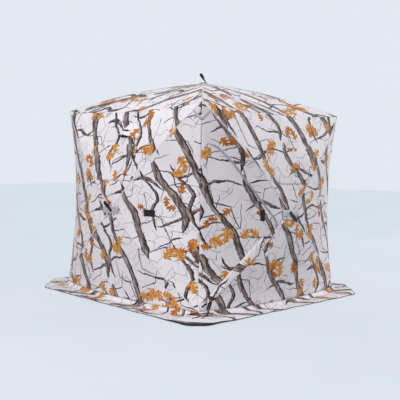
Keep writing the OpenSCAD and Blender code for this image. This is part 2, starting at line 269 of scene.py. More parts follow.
@dataclass(frozen=True)
class Facet:
    """One sewn panel between two bowed rods and an edge seam."""

    hub: Array
    first: Array
    second: Array
    outward: Array
    bow: float
    pull: Array
    axes: tuple[int, int]

    def rod(self, tip: Array, u: Array) -> Array:
        """Points on the bowed rod line from the hub to a tip, at shares u.

        Args:
            tip: The rod's far end.
            u: Shares of the way.

        Returns:
            Rows of x, y, z.
        """
        chord = tip - self.hub
        c = float(np.linalg.norm(chord))
        d = chord / c
        b = unit(self.outward - d * float(self.outward @ d))
        r = (c * c / 4.0 + self.bow**2) / (2.0 * self.bow)
        x = c * (u - 0.5)
        rise = np.sqrt(r * r - x * x) - (r - self.bow)
        return self.hub + chord * u[:, None] + b * rise[:, None]

    def point(self, u: Array, v: Array) -> Array:
        """Points on the panel, u from hub to edge and v from the first rod to the second."""
        a, b = self.rod(self.first, u), self.rod(self.second, u)
        return a + (b - a) * v[:, None] + self.pull * (u * u * 4.0 * v * (1.0 - v))[:, None]

    def flat(self, points: Array) -> Array:
        """The two flat coordinates of points on this panel."""
        return points[:, self.axes]

    def shares(self, flat: Array) -> Array:
        """Shares of the two chords that add up to each flat point, seen from the hub."""
        chords = np.column_stack([(tip - self.hub)[list(self.axes)] for tip in (self.first, self.second)])
        return (flat - self.hub[list(self.axes)]) @ np.linalg.inv(chords).T

    def locate(self, flat: Array) -> tuple[Array, Array]:
        """Find u and v of flat points by Newton's method.

        Args:
            flat: Rows of two flat coordinates.

        Returns:
            The arrays u and v.
        """
        s = self.shares(flat)
        u = s.sum(axis=1)
        v = s[:, 1] / np.maximum(u, 1e-6)
        near_hub = u < 0.004
        step = 1e-5
        for _ in range(10):
            here = self.flat(self.point(u, v))
            miss = flat - here
            du = (self.flat(self.point(u + step, v)) - here) / step
            dv = (self.flat(self.point(u, v + step)) - here) / step
            det = du[:, 0] * dv[:, 1] - du[:, 1] * dv[:, 0]
            det = np.where(np.abs(det) < 1e-9, 1e-9, det)
            u = u + np.clip((miss[:, 0] * dv[:, 1] - miss[:, 1] * dv[:, 0]) / det, -0.2, 0.2)
            v = v + np.clip((du[:, 0] * miss[:, 1] - du[:, 1] * miss[:, 0]) / det, -0.2, 0.2)
            u = np.clip(u, 0.0, 1.15)
            v = np.clip(v, -0.2, 1.2)
        u = np.where(near_hub, np.maximum(s.sum(axis=1), 0.0), u)
        v = np.where(near_hub, 0.5, v)
        return u, v


class Skin:
    """Four facets round one hub, as one surface over a flat plane."""

    edge_length = 1.9
    rod_length = 1.3

    def __init__(self, facets: Sequence[Facet], outward: Array, folds: float) -> None:
        """Keep the facets.

        Args:
            facets: The four facets in turn.
            outward: Direction that points out of the shelter.
            folds: Height of the tension folds at the corners.
        """
        self.facets = list(facets)
        self.outward = outward
        self.folds = folds
        self.axes = list(facets[0].axes)
        self.hub = facets[0].hub[self.axes]

    def which(self, flat: Array) -> Array:
        """Index of the facet that each flat point lies on."""
        scores = np.column_stack([f.shares(flat).min(axis=1) for f in self.facets])
        return np.argmax(scores, axis=1)

    def border(self, step: float) -> Array:
        """The skin's outer edge as a flat closed loop, counter-clockwise.

        Args:
            step: Wanted distance between points.

        Returns:
            Rows of two flat coordinates.
        """
        parts = []
        for facet in self.facets:
            v = np.linspace(0.0, 1.0, max(3, int(self.edge_length / step)) + 1)
            parts.append(facet.flat(facet.point(np.ones_like(v), v))[:-1])
        loop = np.vstack(parts)
        area = np.sum(loop[:, 0] * np.roll(loop[:, 1], -1) - np.roll(loop[:, 0], -1) * loop[:, 1])
        return loop if area > 0 else loop[::-1]

    def ridges(self, step: float) -> list[Array]:
        """The four rod lines, flat, from the hub outwards.

        Args:
            step: Wanted distance between points.

        Returns:
            One flat polyline for each rod.
        """
        lines = []
        for facet in self.facets:
            u = np.linspace(0.0, 1.0, int(self.rod_length / step) + 1)
            lines.append(facet.flat(facet.rod(facet.first, u)))
        return lines

    def surface(self, flat: Array, lift: float | Array = 0.0) -> Array:
        """Points of the skin over flat points.

        Args:
            flat: Rows of two flat coordinates.
            lift: How far out of the skin the points lie.

        Returns:
            Rows of x, y, z, wrinkles included.
        """
        kinds = self.which(flat)
        result = np.zeros((len(flat), 3))
        height = np.zeros(len(flat))
        for index, facet in enumerate(self.facets):
            rows = np.nonzero(kinds == index)[0]
            if len(rows) == 0:
                continue
            u, v = facet.locate(flat[rows])
            result[rows] = facet.point(np.maximum(u, 0.0), v)
            height[rows] = self.wrinkle(facet, flat[rows], u, v, index)
        return result + np.outer(height + lift, self.outward)

    def wrinkle(self, facet: Facet, flat: Array, u: Array, v: Array, index: int) -> Array:
        """Height of the soft folds: none on the rods and edges, more in the middle and by the corners.

        Args:
            facet: The panel.
            flat: Rows of two flat coordinates on it.
            u: Their shares from hub to edge.
            v: Their shares from rod to rod.
            index: The panel's number, which shifts its folds.

        Returns:
            One height for each point.
        """
        calm = np.clip(u, 0, 1) * 4.0 * np.clip(v, 0, 1) * np.clip(1.0 - v, 0, 1)
        calm = smooth_step(0.0, 0.35, calm)
        x, y = flat[:, 0], flat[:, 1]
        wave = np.sin(9.0 * x + 5.0 * y + 1.7 * index) + 0.7 * np.sin(-6.0 * x + 13.0 * y + 2.3 * index)
        wave = wave + 0.45 * np.sin(21.0 * x - 8.0 * y + 0.9 * index)
        height = 0.0016 * wave * calm
        for share, tip in ((v, facet.first), (1.0 - v, facet.second)):
            corner = tip[list(facet.axes)]
            away = flat - corner
            reach = np.linalg.norm(away, axis=1)
            angle = np.arctan2(away[:, 1], away[:, 0])
            fade = np.exp(-reach / 0.24) * smooth_step(0.015, 0.10, reach)
            edge = smooth_step(0.0, 0.10, share) * smooth_step(0.0, 0.06, 1.0 - u + 0.015)
            height = height + self.folds * np.sin(17.0 * angle + 1.3 * index) * fade * edge
        return height


class Form:
    """All five skins of the shelter."""

    def __init__(self, sizes: ShelterSizes) -> None:
        """Work the facets out from the sizes.

        Args:
            sizes: The shelter's sizes.
        """
        self.sizes = s = sizes
        half_e, half_b = s.eave / 2.0, s.base / 2.0
        hub = np.array([0.0, -max(half_b, half_e) - s.hub_out, s.hub_z])
        tl, tr = np.array([-half_e, -half_e, s.corner_h]), np.array([half_e, -half_e, s.corner_h])
        bl, br = np.array([-half_b, -half_b, s.hem_z]), np.array([half_b, -half_b, s.hem_z])
        out = np.array([0.0, -1.0, 0.0])
        eave = np.array([0.0, s.eave_in, -s.eave_sag])
        spans = (
            (tr, tl, eave),
            (tl, bl, np.array([s.seam_in, s.seam_in, 0.0])),
            (bl, br, np.array([0.0, -s.hem_out, 0.0])),
            (br, tr, np.array([-s.seam_in, s.seam_in, 0.0])),
        )
        panels = [Facet(hub, a, b, out, s.wall_bow, p, (0, 2)) for a, b, p in spans]
        self.wall = Skin(panels, out, s.wall_folds)
        up = np.array([0.0, 0.0, 1.0])
        top = np.array([0.0, 0.0, s.corner_h + s.roof_rise])
        roof = []
        for k in range(4):
            pair = turned(np.array([tl, tr, eave]), -k)
            roof.append(Facet(top, pair[0], pair[1], up, s.roof_bow, pair[2], (0, 1)))
        self.roof = Skin(roof, up, s.roof_folds)
        self.hub = hub


# ---- meshes


def new_object(name: str, vertices: Array, faces: Sequence[Sequence[int]]) -> Piece:
    """Make a mesh object at the origin.

    Args:
        name: Name of the piece.
        vertices: Rows of x, y, z.
        faces: Vertex numbers of each face.

    Returns:
        The new object, smooth shaded.
    """
    mesh = bpy.data.meshes.new(name)
    mesh.from_pydata([tuple(map(float, v)) for v in vertices], [], [tuple(int(i) for i in f) for f in faces])
    mesh.validate()
    mesh.polygons.foreach_set("use_smooth", [True] * len(mesh.polygons))
    mesh.update()
    obj = bpy.data.objects.new(name, mesh)
    bpy.context.scene.collection.objects.link(obj)
    return obj


def set_cut(obj: Piece, corner_uv: Array) -> None:
    """Give a piece its cutting-table coordinates in metres, one row for each face corner."""
    layer = obj.data.uv_layers.new(name=UV_NAME)
    layer.data.foreach_set("uv", np.asarray(corner_uv, dtype=np.float32).ravel())


def corner_vertices(obj: Piece) -> Array:
    """Vertex number of each face corner.

    Args:
        obj: The piece.

    Returns:
        One number for each face corner.
    """
    index = np.zeros(len(obj.data.loops), dtype=np.int32)
    obj.data.loops.foreach_get("vertex_index", index)
    return index


def apply_modifier(obj: Piece, kind: str, **settings: object) -> None:
    """Add a modifier with these settings and apply it.

    Args:
        obj: The piece.
        kind: Blender's name of the modifier.
        **settings: Its settings.
    """
    bpy.ops.object.select_all(action="DESELECT")
    obj.select_set(True)
    bpy.context.view_layer.objects.active = obj
    modifier = obj.modifiers.new(kind.lower(), kind)
    for key, value in settings.items():
        setattr(modifier, key, value)
    bpy.ops.object.modifier_apply(modifier=modifier.name)


def thicken(obj: Piece, thickness: float, inner_slot: int = 0) -> None:
    """Give a cloth its thickness inwards, its inner face in another material slot."""
    apply_modifier(obj, "SOLIDIFY", thickness=thickness, offset=-1.0, use_even_offset=True,
                   use_quality_normals=True, material_offset=inner_slot, material_offset_rim=0)


def cloth_area(obj: Piece) -> float:
    """Area of all the faces of a piece."""
    return sum(p.area for p in obj.data.polygons)


def grid_faces(rows: int, columns: int) -> list[tuple[int, ...]]:
    """Faces of a grid of points, row by row."""
    starts = [i * (columns + 1) + k for i in range(rows) for k in range(columns)]
    return [(a, a + 1, a + columns + 2, a + columns + 1) for a in starts]


def ring_faces(rings: int, sides: int, loop: bool = False) -> list[tuple[int, ...]]:
    """Faces of a stack of rings of points, the last joined to the first where it is a loop.

    Args:
        rings: Number of rings.
        sides: Points in each ring.
        loop: Whether the last ring joins the first.

    Returns:
        Point numbers of each face.
    """
    faces = []
    for i in range(rings if loop else rings - 1):
        for k in range(sides):
            j, m = (i + 1) % rings, (k + 1) % sides
            faces.append((i * sides + k, j * sides + k, j * sides + m, i * sides + m))
    return faces


def ribbon_uv(across: Array, along: Array) -> Array:
    """Face-corner coordinates of a ribbon's grid, row by row.

    Args:
        across: Coordinates across the ribbon.
        along: Coordinates along it.

    Returns:
        One row for each face corner.
    """
    uv = []
    for y0, y1 in zip(along[:-1], along[1:]):
        for x0, x1 in zip(across[:-1], across[1:]):
            uv.extend([(x0, y0), (x1, y0), (x1, y1), (x0, y1)])
    return np.array(uv)


@dataclass(frozen=True)
class Cutter:
    """Cuts pieces of cloth out of a skin and lays them on it, with a mesh of this grid size."""

    skin: Skin
    wall: int = 0
    step: float = 0.018

    @staticmethod
    def within(points: Array, rings: Sequence[Array]) -> Array:
        """Say which flat points lie inside the first ring and outside the others.

        Args:
            points: Rows of two coordinates.
            rings: The closed loops.

        Returns:
            One boolean for each point.
        """
        keep = inside(points, rings[0])
        for ring in rings[1:]:
            keep &= ~inside(points, ring)
        return keep

    def cut(self, name: str, outline: Array, holes: Sequence[Array] = (),
            creases: Sequence[Array] = (), lift: float | Callable[[Array], Array] = 0.0,
            phase: Phase | None = None) -> Piece:
        """Cut one piece of cloth.

        Args:
            name: Name of the piece.
            outline: Flat closed loop of its edge.
            holes: Flat closed loops that are cut out of it.
            creases: Flat polylines that the mesh follows.
            lift: How far it lies off the skin, or a function of flat points that says so.
            phase: Function that says where on the print each facet's cloth was cut.

        Returns:
            The new object, one layer of faces that point outwards.
        """
        step = self.step
        rings = [resampled(closed(loop), step)[:-1] for loop in (outline, *holes)]
        edge_lines = [closed(ring) for ring in rings]
        crease_lines = [resampled(line, step) for line in creases]
        points, edges = [], []
        for line, is_ring in [(r, True) for r in rings] + [(c, False) for c in crease_lines]:
            first = len(points)
            points.extend(map(tuple, line))
            edges.extend((first + i, first + i + 1) for i in range(len(line) - 1))
            if is_ring:
                edges.append((first + len(line) - 1, first))
        low, high = outline.min(axis=0), outline.max(axis=0)
        rows = int((high[1] - low[1]) / (step * TRIANGLE_HEIGHT)) + 2
        columns = int((high[0] - low[0]) / step) + 2
        grid = np.array([(low[0] + (i + 0.5 * (j % 2)) * step, low[1] + j * step * TRIANGLE_HEIGHT)
                         for j in range(rows) for i in range(columns)])
        grid = grid[self.within(grid, rings)]
        grid = grid[distance_to_lines(grid, edge_lines + crease_lines) > 0.45 * step]
        points.extend(map(tuple, grid))
        flat_points = [Vector(p) for p in points]
        verts, _, faces, *_ = delaunay_2d_cdt(flat_points, edges, [], 0, 1e-7)
        flat = np.array([(v.x, v.y) for v in verts])
        tri = np.array([f for f in faces if len(f) == 3], dtype=int)
        middle = flat[tri].mean(axis=1)
        keep = self.within(middle, rings)
        tri, middle = tri[keep], middle[keep]
        a, b, c = flat[tri[:, 0]], flat[tri[:, 1]], flat[tri[:, 2]]
        area = (b[:, 0] - a[:, 0]) * (c[:, 1] - a[:, 1]) - (b[:, 1] - a[:, 1]) * (c[:, 0] - a[:, 0])
        tri[area < 0] = tri[area < 0][:, ::-1]
        used = np.unique(tri)
        renumber = np.zeros(len(flat), dtype=int)
        renumber[used] = np.arange(len(used))
        flat, tri = flat[used], renumber[tri]
        height = lift(flat) if callable(lift) else lift
        solid = turned(self.skin.surface(flat, height), self.wall)
        obj = new_object(name, solid, tri)
        kinds = np.repeat(self.skin.which(middle), 3)
        uv = flat[corner_vertices(obj)] - self.skin.hub
        if phase is not None:
            uv = phase(uv, kinds)
        set_cut(obj, uv)
        return obj


def strip(name: str, left: Array, right: Array, columns: int = 4) -> Piece:
    """Make a band of webbing between two lines.

    Args:
        name: Name of the piece.
        left: Points of one edge.
        right: Matching points of the other edge.
        columns: Faces across the band.

    Returns:
        The new object, with its UVs in metres, x across and y along.
    """
    share = np.linspace(0.0, 1.0, columns + 1)
    grid = left[:, None, :] + (right - left)[:, None, :] * share[None, :, None]
    width = float(np.mean(np.linalg.norm(right - left, axis=1)))
    obj = new_object(name, grid.reshape(-1, 3), grid_faces(len(left) - 1, columns))
    set_cut(obj, ribbon_uv(share * width, lengths_along((left + right) / 2)))
    return obj


# ---- node materials


class Ink:
    """A number socket that Python's operators work on, each as a Math node."""

    def __init__(self, recipe: "Recipe", socket: Socket) -> None:
        """Wrap a socket of a recipe."""
        self.recipe = recipe
        self.socket = socket

    def _math(self, operation: str, *others: "Ink | float") -> "Ink":
        """Add a Math node whose first input is this socket."""
        return self.recipe.math(operation, self, *others)

    def __add__(self, other: "Ink | float") -> "Ink":
        """Sum."""
        return self._math("ADD", other)

    __radd__ = __add__

    def __sub__(self, other: "Ink | float") -> "Ink":
        """Difference."""
        return self._math("SUBTRACT", other)

    def __rsub__(self, other: float) -> "Ink":
        """Difference from a number."""
        return self.recipe.math("SUBTRACT", other, self)

    def __mul__(self, other: "Ink | float") -> "Ink":
        """Product."""
        return self._math("MULTIPLY", other)

    __rmul__ = __mul__

    def __truediv__(self, other: "Ink | float") -> "Ink":
        """Quotient."""
        return self._math("DIVIDE", other)

    def __abs__(self) -> "Ink":
        """Size without sign."""
        return self._math("ABSOLUTE")

    def most(self, other: "Ink | float") -> "Ink":
        """The larger of two."""
        return self._math("MAXIMUM", other)

    def sine(self) -> "Ink":
        """Sine of an angle in radians."""
        return self._math("SINE")

    def above(self, limit: float) -> "Ink":
        """1 where the number is over a limit, else 0."""
        return self._math("GREATER_THAN", limit)

    def fade(self, low: float, high: float) -> "Ink":
        """Ease from 0 at low to 1 at high; low may be the larger one.

        Args:
            low: Where it is 0.
            high: Where it is 1.

        Returns:
            The eased number.
        """
        reach = {"Value": self, "From Min": low, "From Max": high, "To Min": 0.0, "To Max": 1.0}
        if low > high:
            reach = {"Value": self, "From Min": high, "From Max": low, "To Min": 1.0, "To Max": 0.0}
        node = self.recipe.node("MapRange", {"interpolation_type": "SMOOTHSTEP"}, reach)
        return Ink(self.recipe, node.outputs["Result"])


class Recipe:
    """Builds the nodes of one material."""

    def __init__(self, name: str) -> None:
        """Start an empty material with a Principled shader.

        Args:
            name: The material's name.
        """
        self.material = bpy.data.materials.new(name)
        self.material.use_nodes = True
        self.tree = self.material.node_tree
        self.tree.nodes.clear()
        output = self.tree.nodes.new("ShaderNodeOutputMaterial")
        self.shader = self.tree.nodes.new("ShaderNodeBsdfPrincipled")
        self.tree.links.new(self.shader.outputs["BSDF"], output.inputs["Surface"])

    def node(self, kind: str, settings: dict | None = None, inputs: dict | None = None) -> bpy.types.Node:
        """Add a node.

        Args:
            kind: The node's type without its ShaderNode prefix.
            settings: Attributes that are set first.
            inputs: Values, sockets or Inks for its inputs, by name or number.

        Returns:
            The new node.
        """
        made = self.tree.nodes.new("ShaderNode" + kind)
        for key, value in (settings or {}).items():
            setattr(made, key, value)
        for key, value in (inputs or {}).items():
            self.feed(made.inputs[key], value)
        return made

    def feed(self, socket: Socket, value: object) -> None:
        """Link a socket or an Ink, or set a value.

        Args:
            socket: The input.
            value: What it gets.
        """
        if isinstance(value, Ink):
            self.tree.links.new(value.socket, socket)
        elif isinstance(value, Socket):
            self.tree.links.new(value, socket)
        else:
            socket.default_value = value

    def math(self, operation: str, *values: "Ink | float") -> Ink:
        """Add a Math node."""
        node = self.node("Math", {"operation": operation}, dict(enumerate(values)))
        return Ink(self, node.outputs[0])

    def vector(self, operation: str, *values: object, scale: float | None = None) -> Socket:
        """Add a Vector Math node and return its vector.

        Args:
            operation: The node's operation.
            *values: Its vectors.
            scale: Its scale, where it has one.

        Returns:
            The vector socket.
        """
        inputs = dict(enumerate(values))
        if scale is not None:
            inputs["Scale"] = scale
        return self.node("VectorMath", {"operation": operation}, inputs).outputs["Vector"]

    def split(self, vector: Socket) -> tuple[Ink, Ink, Ink]:
        """The three parts of a vector."""
        node = self.node("SeparateXYZ", None, {0: vector})
        return tuple(Ink(self, node.outputs[i]) for i in range(3))

    def join(self, x: "Ink | float", y: "Ink | float", z: "Ink | float" = 0.0) -> Socket:
        """A vector from three numbers."""
        return self.node("CombineXYZ", None, {0: x, 1: y, 2: z}).outputs[0]

    def mix(self, share: "Ink | float", first: object, second: object) -> Socket:
        """A colour between two colours.

        Args:
            share: How much of the second.
            first: The first colour.
            second: The second colour.

        Returns:
            The colour socket.
        """
        node = self.node("Mix", {"data_type": "RGBA", "clamp_factor": True})
        self.feed(node.inputs[0], share)
        self.feed(node.inputs[6], first)
        self.feed(node.inputs[7], second)
        return node.outputs[2]

    def noise_node(self, vector: object, scale: float, detail: float, rough: float) -> bpy.types.Node:
        """Add a Noise Texture."""
        inputs = {"Vector": vector, "Scale": scale, "Detail": detail, "Roughness": rough}
        return self.node("TexNoise", None, inputs)

    def noise(self, vector: object, scale: float, detail: float = 2.0, rough: float = 0.5) -> Ink:
        """Cloudy noise as a number."""
        return Ink(self, self.noise_node(vector, scale, detail, rough).outputs["Fac"])

    def scuffs(self, place: object) -> Ink:
        """Worn spots on plastic, from 0 to 1."""
        return self.noise(place, 14.0, 5.0, 0.7).fade(0.52, 0.72)

    def cut_coordinates(self) -> Socket:
        """The cloth's own flat coordinates in metres."""
        return self.node("UVMap", {"uv_map": UV_NAME}).outputs["UV"]

    def object_coordinates(self) -> Socket:
        """Object coordinates in metres."""
        return self.node("TexCoord").outputs["Object"]

    def bump(self, height: Ink, distance: float, strength: float) -> None:
        """Bump the shader's normal by a height."""
        node = self.node("Bump", None, {"Strength": strength, "Distance": distance, "Height": height})
        self.feed(self.shader.inputs["Normal"], node.outputs["Normal"])

    def set(self, **values: object) -> None:
        """Feed the shader's sockets; underscores stand for spaces."""
        for key, value in values.items():
            self.feed(self.shader.inputs[key.replace("_", " ")], value)


def tone(*channels: float) -> Colour:
    """A colour written as red, green and blue screen values from 0 to 255, made linear."""
    shares = [value / 255.0 for value in channels]
    return tuple(s / 12.92 if s <= 0.04045 else ((s + 0.055) / 1.055) ** 2.4 for s in shares) + (1.0,)


def scaled(colour: Colour, share: float, added: float = 0.0) -> Colour:
    """A colour made darker or lighter."""
    return tuple(min(1.0, c * share + added) for c in colour[:3]) + (1.0,)


@dataclass(frozen=True)
class Stroke:
    """One painted limb: its middle line and half width along the repeat, in metres.

    Both are given as (share of the way, value) pairs; a negative half width draws nothing.
    """

    line: tuple[tuple[float, float], ...]
    half: tuple[tuple[float, float], ...]


@dataclass(frozen=True)
class Surface:
    """A finish: each kind paints its own nodes."""

    name: str

    def paint(self, r: Recipe) -> None:
        """Feed the shader; plain unless a kind does more."""

    def make(self) -> Finish:
        """Build the material.

        Returns:
            The finished material.
        """
        r = Recipe(self.name)
        self.paint(r)
        return r.material


@dataclass(frozen=True)
class WoodPrint(Surface):
    """A winter wood print: trunks, branches, twigs and oak leaves on pale cloth.

    Sizes are in metres. Each leaf layer is the spacing, half length, share of empty places, shift and lean
    of its leaves.
    """

    ground: Colour = tone(238, 234, 239)
    # Painted light: a share of the ground colour; under 1 it paints shade on the cloth, over 1 it paints a
    # highlight.
    painted_light_share: float = 1.0
    wide: float = 1.50
    high: float = 0.64
    drift: float = 0.34
    light: float = 0.012
    growth: float = 0.007
    trunks: tuple[Stroke, ...] = (
        Stroke(((0, 0.66), (0.2, 0.61), (0.42, 0.50), (0.62, 0.42), (0.8, 0.39), (1, 0.32)),
               ((0, 0.031), (0.2, 0.036), (0.55, 0.026), (0.8, 0.033), (1, 0.031))),
        Stroke(((0, 1.08), (0.25, 1.08), (0.5, 0.98), (0.75, 0.85), (1, 0.80)),
               ((0, -0.02), (0.05, 0.010), (0.2, 0.026), (0.6, 0.033), (0.86, 0.027), (0.93, -0.02))),
        Stroke(((0, 1.46), (0.3, 1.37), (0.55, 1.24), (0.8, 1.17), (1, 1.12)),
               ((0, 0.024), (0.3, 0.027), (0.6, 0.016), (0.8, 0.022), (1, 0.024))),
        Stroke(((0, 0.30), (0.2, 0.31), (0.45, 0.20), (0.7, 0.06), (1, -0.02)),
               ((0, -0.012), (0.06, 0.010), (0.3, 0.021), (0.62, 0.026), (0.9, 0.014), (0.97, -0.012))),
        Stroke(((0, 0.86), (0.25, 0.80), (0.45, 0.84), (0.7, 0.72), (1, 0.60)),
               ((0, -0.01), (0.1, 0.006), (0.4, 0.010), (0.75, 0.008), (0.93, -0.01), (1, -0.01))),
        Stroke(((0, 1.22), (0.3, 1.12), (0.5, 1.15), (0.75, 1.02), (1, 0.92)),
               ((0, -0.01), (0.1, 0.006), (0.5, 0.012), (0.8, 0.006), (0.95, -0.01), (1, -0.01))),
    )
    branches: tuple[Stroke, ...] = (
        Stroke(((0, 0.30), (0.12, 0.38), (0.25, 0.33), (0.38, 0.43), (0.5, 0.45), (0.62, 0.34), (1, 0.30)),
               ((0, -0.01), (0.03, 0.006), (0.14, 0.014), (0.24, 0.009), (0.31, -0.01),
                (0.35, -0.01), (0.42, 0.012), (0.52, 0.017), (0.6, 0.006), (0.66, -0.01), (1, -0.01))),
        Stroke(((0, 0.12), (0.2, 0.08), (0.4, 0.15), (0.55, 0.05), (0.7, 0.12), (0.85, 0.22), (1, 0.16)),
               ((0, 0.004), (0.08, 0.006), (0.2, 0.009), (0.3, -0.008), (0.52, -0.008), (0.6, 0.008),
                (0.72, 0.014), (0.86, 0.007), (0.93, -0.01), (1, 0.004))),
        Stroke(((0, 0.52), (0.15, 0.58), (0.3, 0.49), (0.5, 0.60), (0.7, 0.47), (0.85, 0.56), (1, 0.52)),
               ((0, 0.004), (0.1, 0.008), (0.24, -0.008), (0.36, 0.005), (0.46, 0.008), (0.55, -0.008),
                (0.66, 0.006), (0.8, 0.012), (0.92, 0.009), (1, 0.004))),
    )
    twig_wide: float = 0.80
    twig_high: float = 0.50
    twigs: tuple[Stroke, ...] = (
        Stroke(((0, 0.12), (0.3, 0.19), (0.5, 0.14), (0.8, 0.24), (1, 0.20)),
               ((0, 0.003), (0.4, 0.0034), (0.7, 0.002), (0.85, -0.004), (1, -0.004))),
        Stroke(((0, 0.42), (0.25, 0.36), (0.6, 0.47), (1, 0.34)),
               ((0, -0.004), (0.08, 0.0022), (0.5, 0.0042), (0.8, 0.0026), (0.95, -0.004), (1, -0.004))),
        Stroke(((0, 0.72), (0.4, 0.62), (0.7, 0.70), (1, 0.58)),
               ((0, 0.0026), (0.28, -0.004), (0.45, -0.004), (0.6, 0.0026), (1, 0.0026))),
    )
    bark: tuple[Colour, Colour, Colour] = (tone(44, 31, 30), tone(109, 92, 90), tone(182, 166, 163))
    leaves: tuple[Colour, Colour, Colour] = (tone(138, 66, 22), tone(206, 128, 48), tone(233, 182, 104))
    twig_tones: tuple[Colour, Colour] = (tone(53, 39, 40), tone(101, 86, 89))
    leaf_layers: tuple[tuple[float, float, float, float, float], ...] = (
        (0.34, 0.061, 0.50, 0.0, 0.66), (0.30, 0.053, 0.58, 3.31, 0.0), (0.34, 0.049, 0.50, 7.13, 0.84))
    thread: float = 3900.0

    def curves(self, recipe: Recipe, along: Ink, strokes: Sequence[Stroke], part: StrokePart,
               unit_size: float, bend: Bend) -> Socket:
        """Three stroke functions of one coordinate, as the parts of a vector.

        Args:
            recipe: The material being made.
            along: The coordinate, from 0 to 1.
            strokes: Up to three strokes.
            part: Which curve of the strokes.
            unit_size: Metres for 1 on the curve.
            bend: How the strokes turn.

        Returns:
            The vector socket, in metres.
        """
        node = recipe.node("RGBCurve", None, {"Color": recipe.join(along, along, along)})
        mapping = node.mapping
        mapping.use_clip = False
        for channel, stroke in zip(mapping.curves, strokes):
            pairs = stroke.line if part is StrokePart.LINE else stroke.half
            points = channel.points
            while len(points) < len(pairs):
                points.new(0.5, 0.5)
            for point, (where, value) in zip(points, pairs):
                point.location = (where, value / unit_size + (0.5 if part is StrokePart.HALF else 0.0))
                point.handle_type = bend.value
        mapping.update()
        result = node.outputs["Color"]
        if part is StrokePart.HALF:
            result = recipe.vector("SUBTRACT", result, (0.5, 0.5, 0.5))
        return recipe.vector("SCALE", result, scale=unit_size)

    def limbs(self, recipe: Recipe, along: Ink, across: Ink, strokes: Sequence[Stroke], period: float,
              bend: Bend = Bend.SMOOTH) -> Ink:
        """How far inside the nearest limb a point is, in metres, negative outside.

        Args:
            recipe: The material being made.
            along: The coordinate that the strokes follow, from 0 to 1.
            across: The coordinate that they are placed on, in metres.
            strokes: The strokes, three to a node.
            period: Repeat of the across coordinate.
            bend: How the strokes turn.

        Returns:
            The depth inside the nearest limb.
        """
        best = None
        spread = recipe.join(across, across, across)
        for first in range(0, len(strokes), 3):
            group = strokes[first:first + 3]
            line = self.curves(recipe, along, group, StrokePart.LINE, 2.0, bend)
            half = self.curves(recipe, along, group, StrokePart.HALF, 0.1, bend)
            gap = recipe.vector("SUBTRACT", spread, line)
            gap = recipe.vector("WRAP", gap, (period / 2,) * 3, (-period / 2,) * 3)
            gap = recipe.vector("ABSOLUTE", gap)
            depth = recipe.split(recipe.vector("SUBTRACT", half, gap))
            group_best = depth[0].most(depth[1]).most(depth[2])
            best = group_best if best is None else best.most(group_best)
        return best

    def twig(self, recipe: Recipe, place: Socket, turn: float, scale: float) -> Ink:
        """Thin twigs that run at an angle to the trunks.

        Args:
            recipe: The material being made.
            place: Flat coordinates in metres.
            turn: Angle in radians.
            scale: Size of the twigs against their strokes.

        Returns:
            The depth inside the nearest twig, in metres.
        """
        turned_by = recipe.node("VectorRotate", {"rotation_type": "Z_AXIS"}, {"Vector": place, "Angle": turn})
        small = recipe.vector("SCALE", turned_by.outputs["Vector"], scale=1.0 / scale)
        x, y, _ = recipe.split(small)
        row = recipe.math("FLOOR", y / self.twig_high)
        across = recipe.math("WRAP", x + row * 0.27, self.twig_wide, 0.0)
        depth = self.limbs(recipe, y / self.twig_high - row, across, self.twigs, self.twig_wide, Bend.ANGULAR)
        return depth * scale

    def leaf(self, recipe: Recipe, place: Socket, spacing: float, size: float, share: float,
             seed: float, lean: float) -> tuple[Ink, Ink, Ink, Ink, Ink]:
        """Oak leaves strewn over the cloth, alone or in pairs on one stalk.

        Args:
            recipe: The material being made.
            place: Flat coordinates in metres.
            spacing: Distance between leaf places.
            size: Half length of a leaf.
            share: Share of the places that are left empty.
            seed: Shift of the pattern.
            lean: Angle of each leaf of a pair from the stalk, or 0 for single leaves.

        Returns:
            The mask, the dark rim, the veins, how far out along the leaf, and a random number of its place.
        """
        moved = recipe.vector("ADD", place, (seed, seed * 1.7, 0.0))
        cells = recipe.node("TexVoronoi", {"voronoi_dimensions": "2D"},
                            {"Vector": moved, "Scale": 1.0 / spacing, "Randomness": 0.8})
        offset = recipe.vector("SUBTRACT", moved, cells.outputs["Position"])
        pick = recipe.split(cells.outputs["Color"])
        turned_by = recipe.node("VectorRotate", {"rotation_type": "Z_AXIS"},
                                {"Vector": offset, "Angle": pick[0] * 6.283})
        x, y, _ = recipe.split(turned_by.outputs["Vector"])
        scale = size * (0.8 + 0.45 * pick[1])
        c, s = math.cos(lean), math.sin(lean)
        if lean:
            side = abs(x)
            along = (side * s + y * c) / scale - 1.0
            across = abs(side * c - y * s) / scale
        else:
            along = y / scale
            across = abs(x) / scale
        wave = (along * 10.0 + across * 5.0).sine()
        body = (1.0 - along * along).most(0.0)
        width = body * (0.60 + 0.27 * wave) * (0.95 + 0.30 * along) + 0.02
        depth = (width - across) * along.fade(-1.16, -1.10) * along.fade(1.02, 0.98)
        veins = across.fade(0.09, 0.03).most(wave.fade(0.80, 0.97) * 0.7)
        return depth.fade(0.0, 0.07) * pick[2].above(share), depth.fade(0.16, 0.05), veins, along, pick[1]

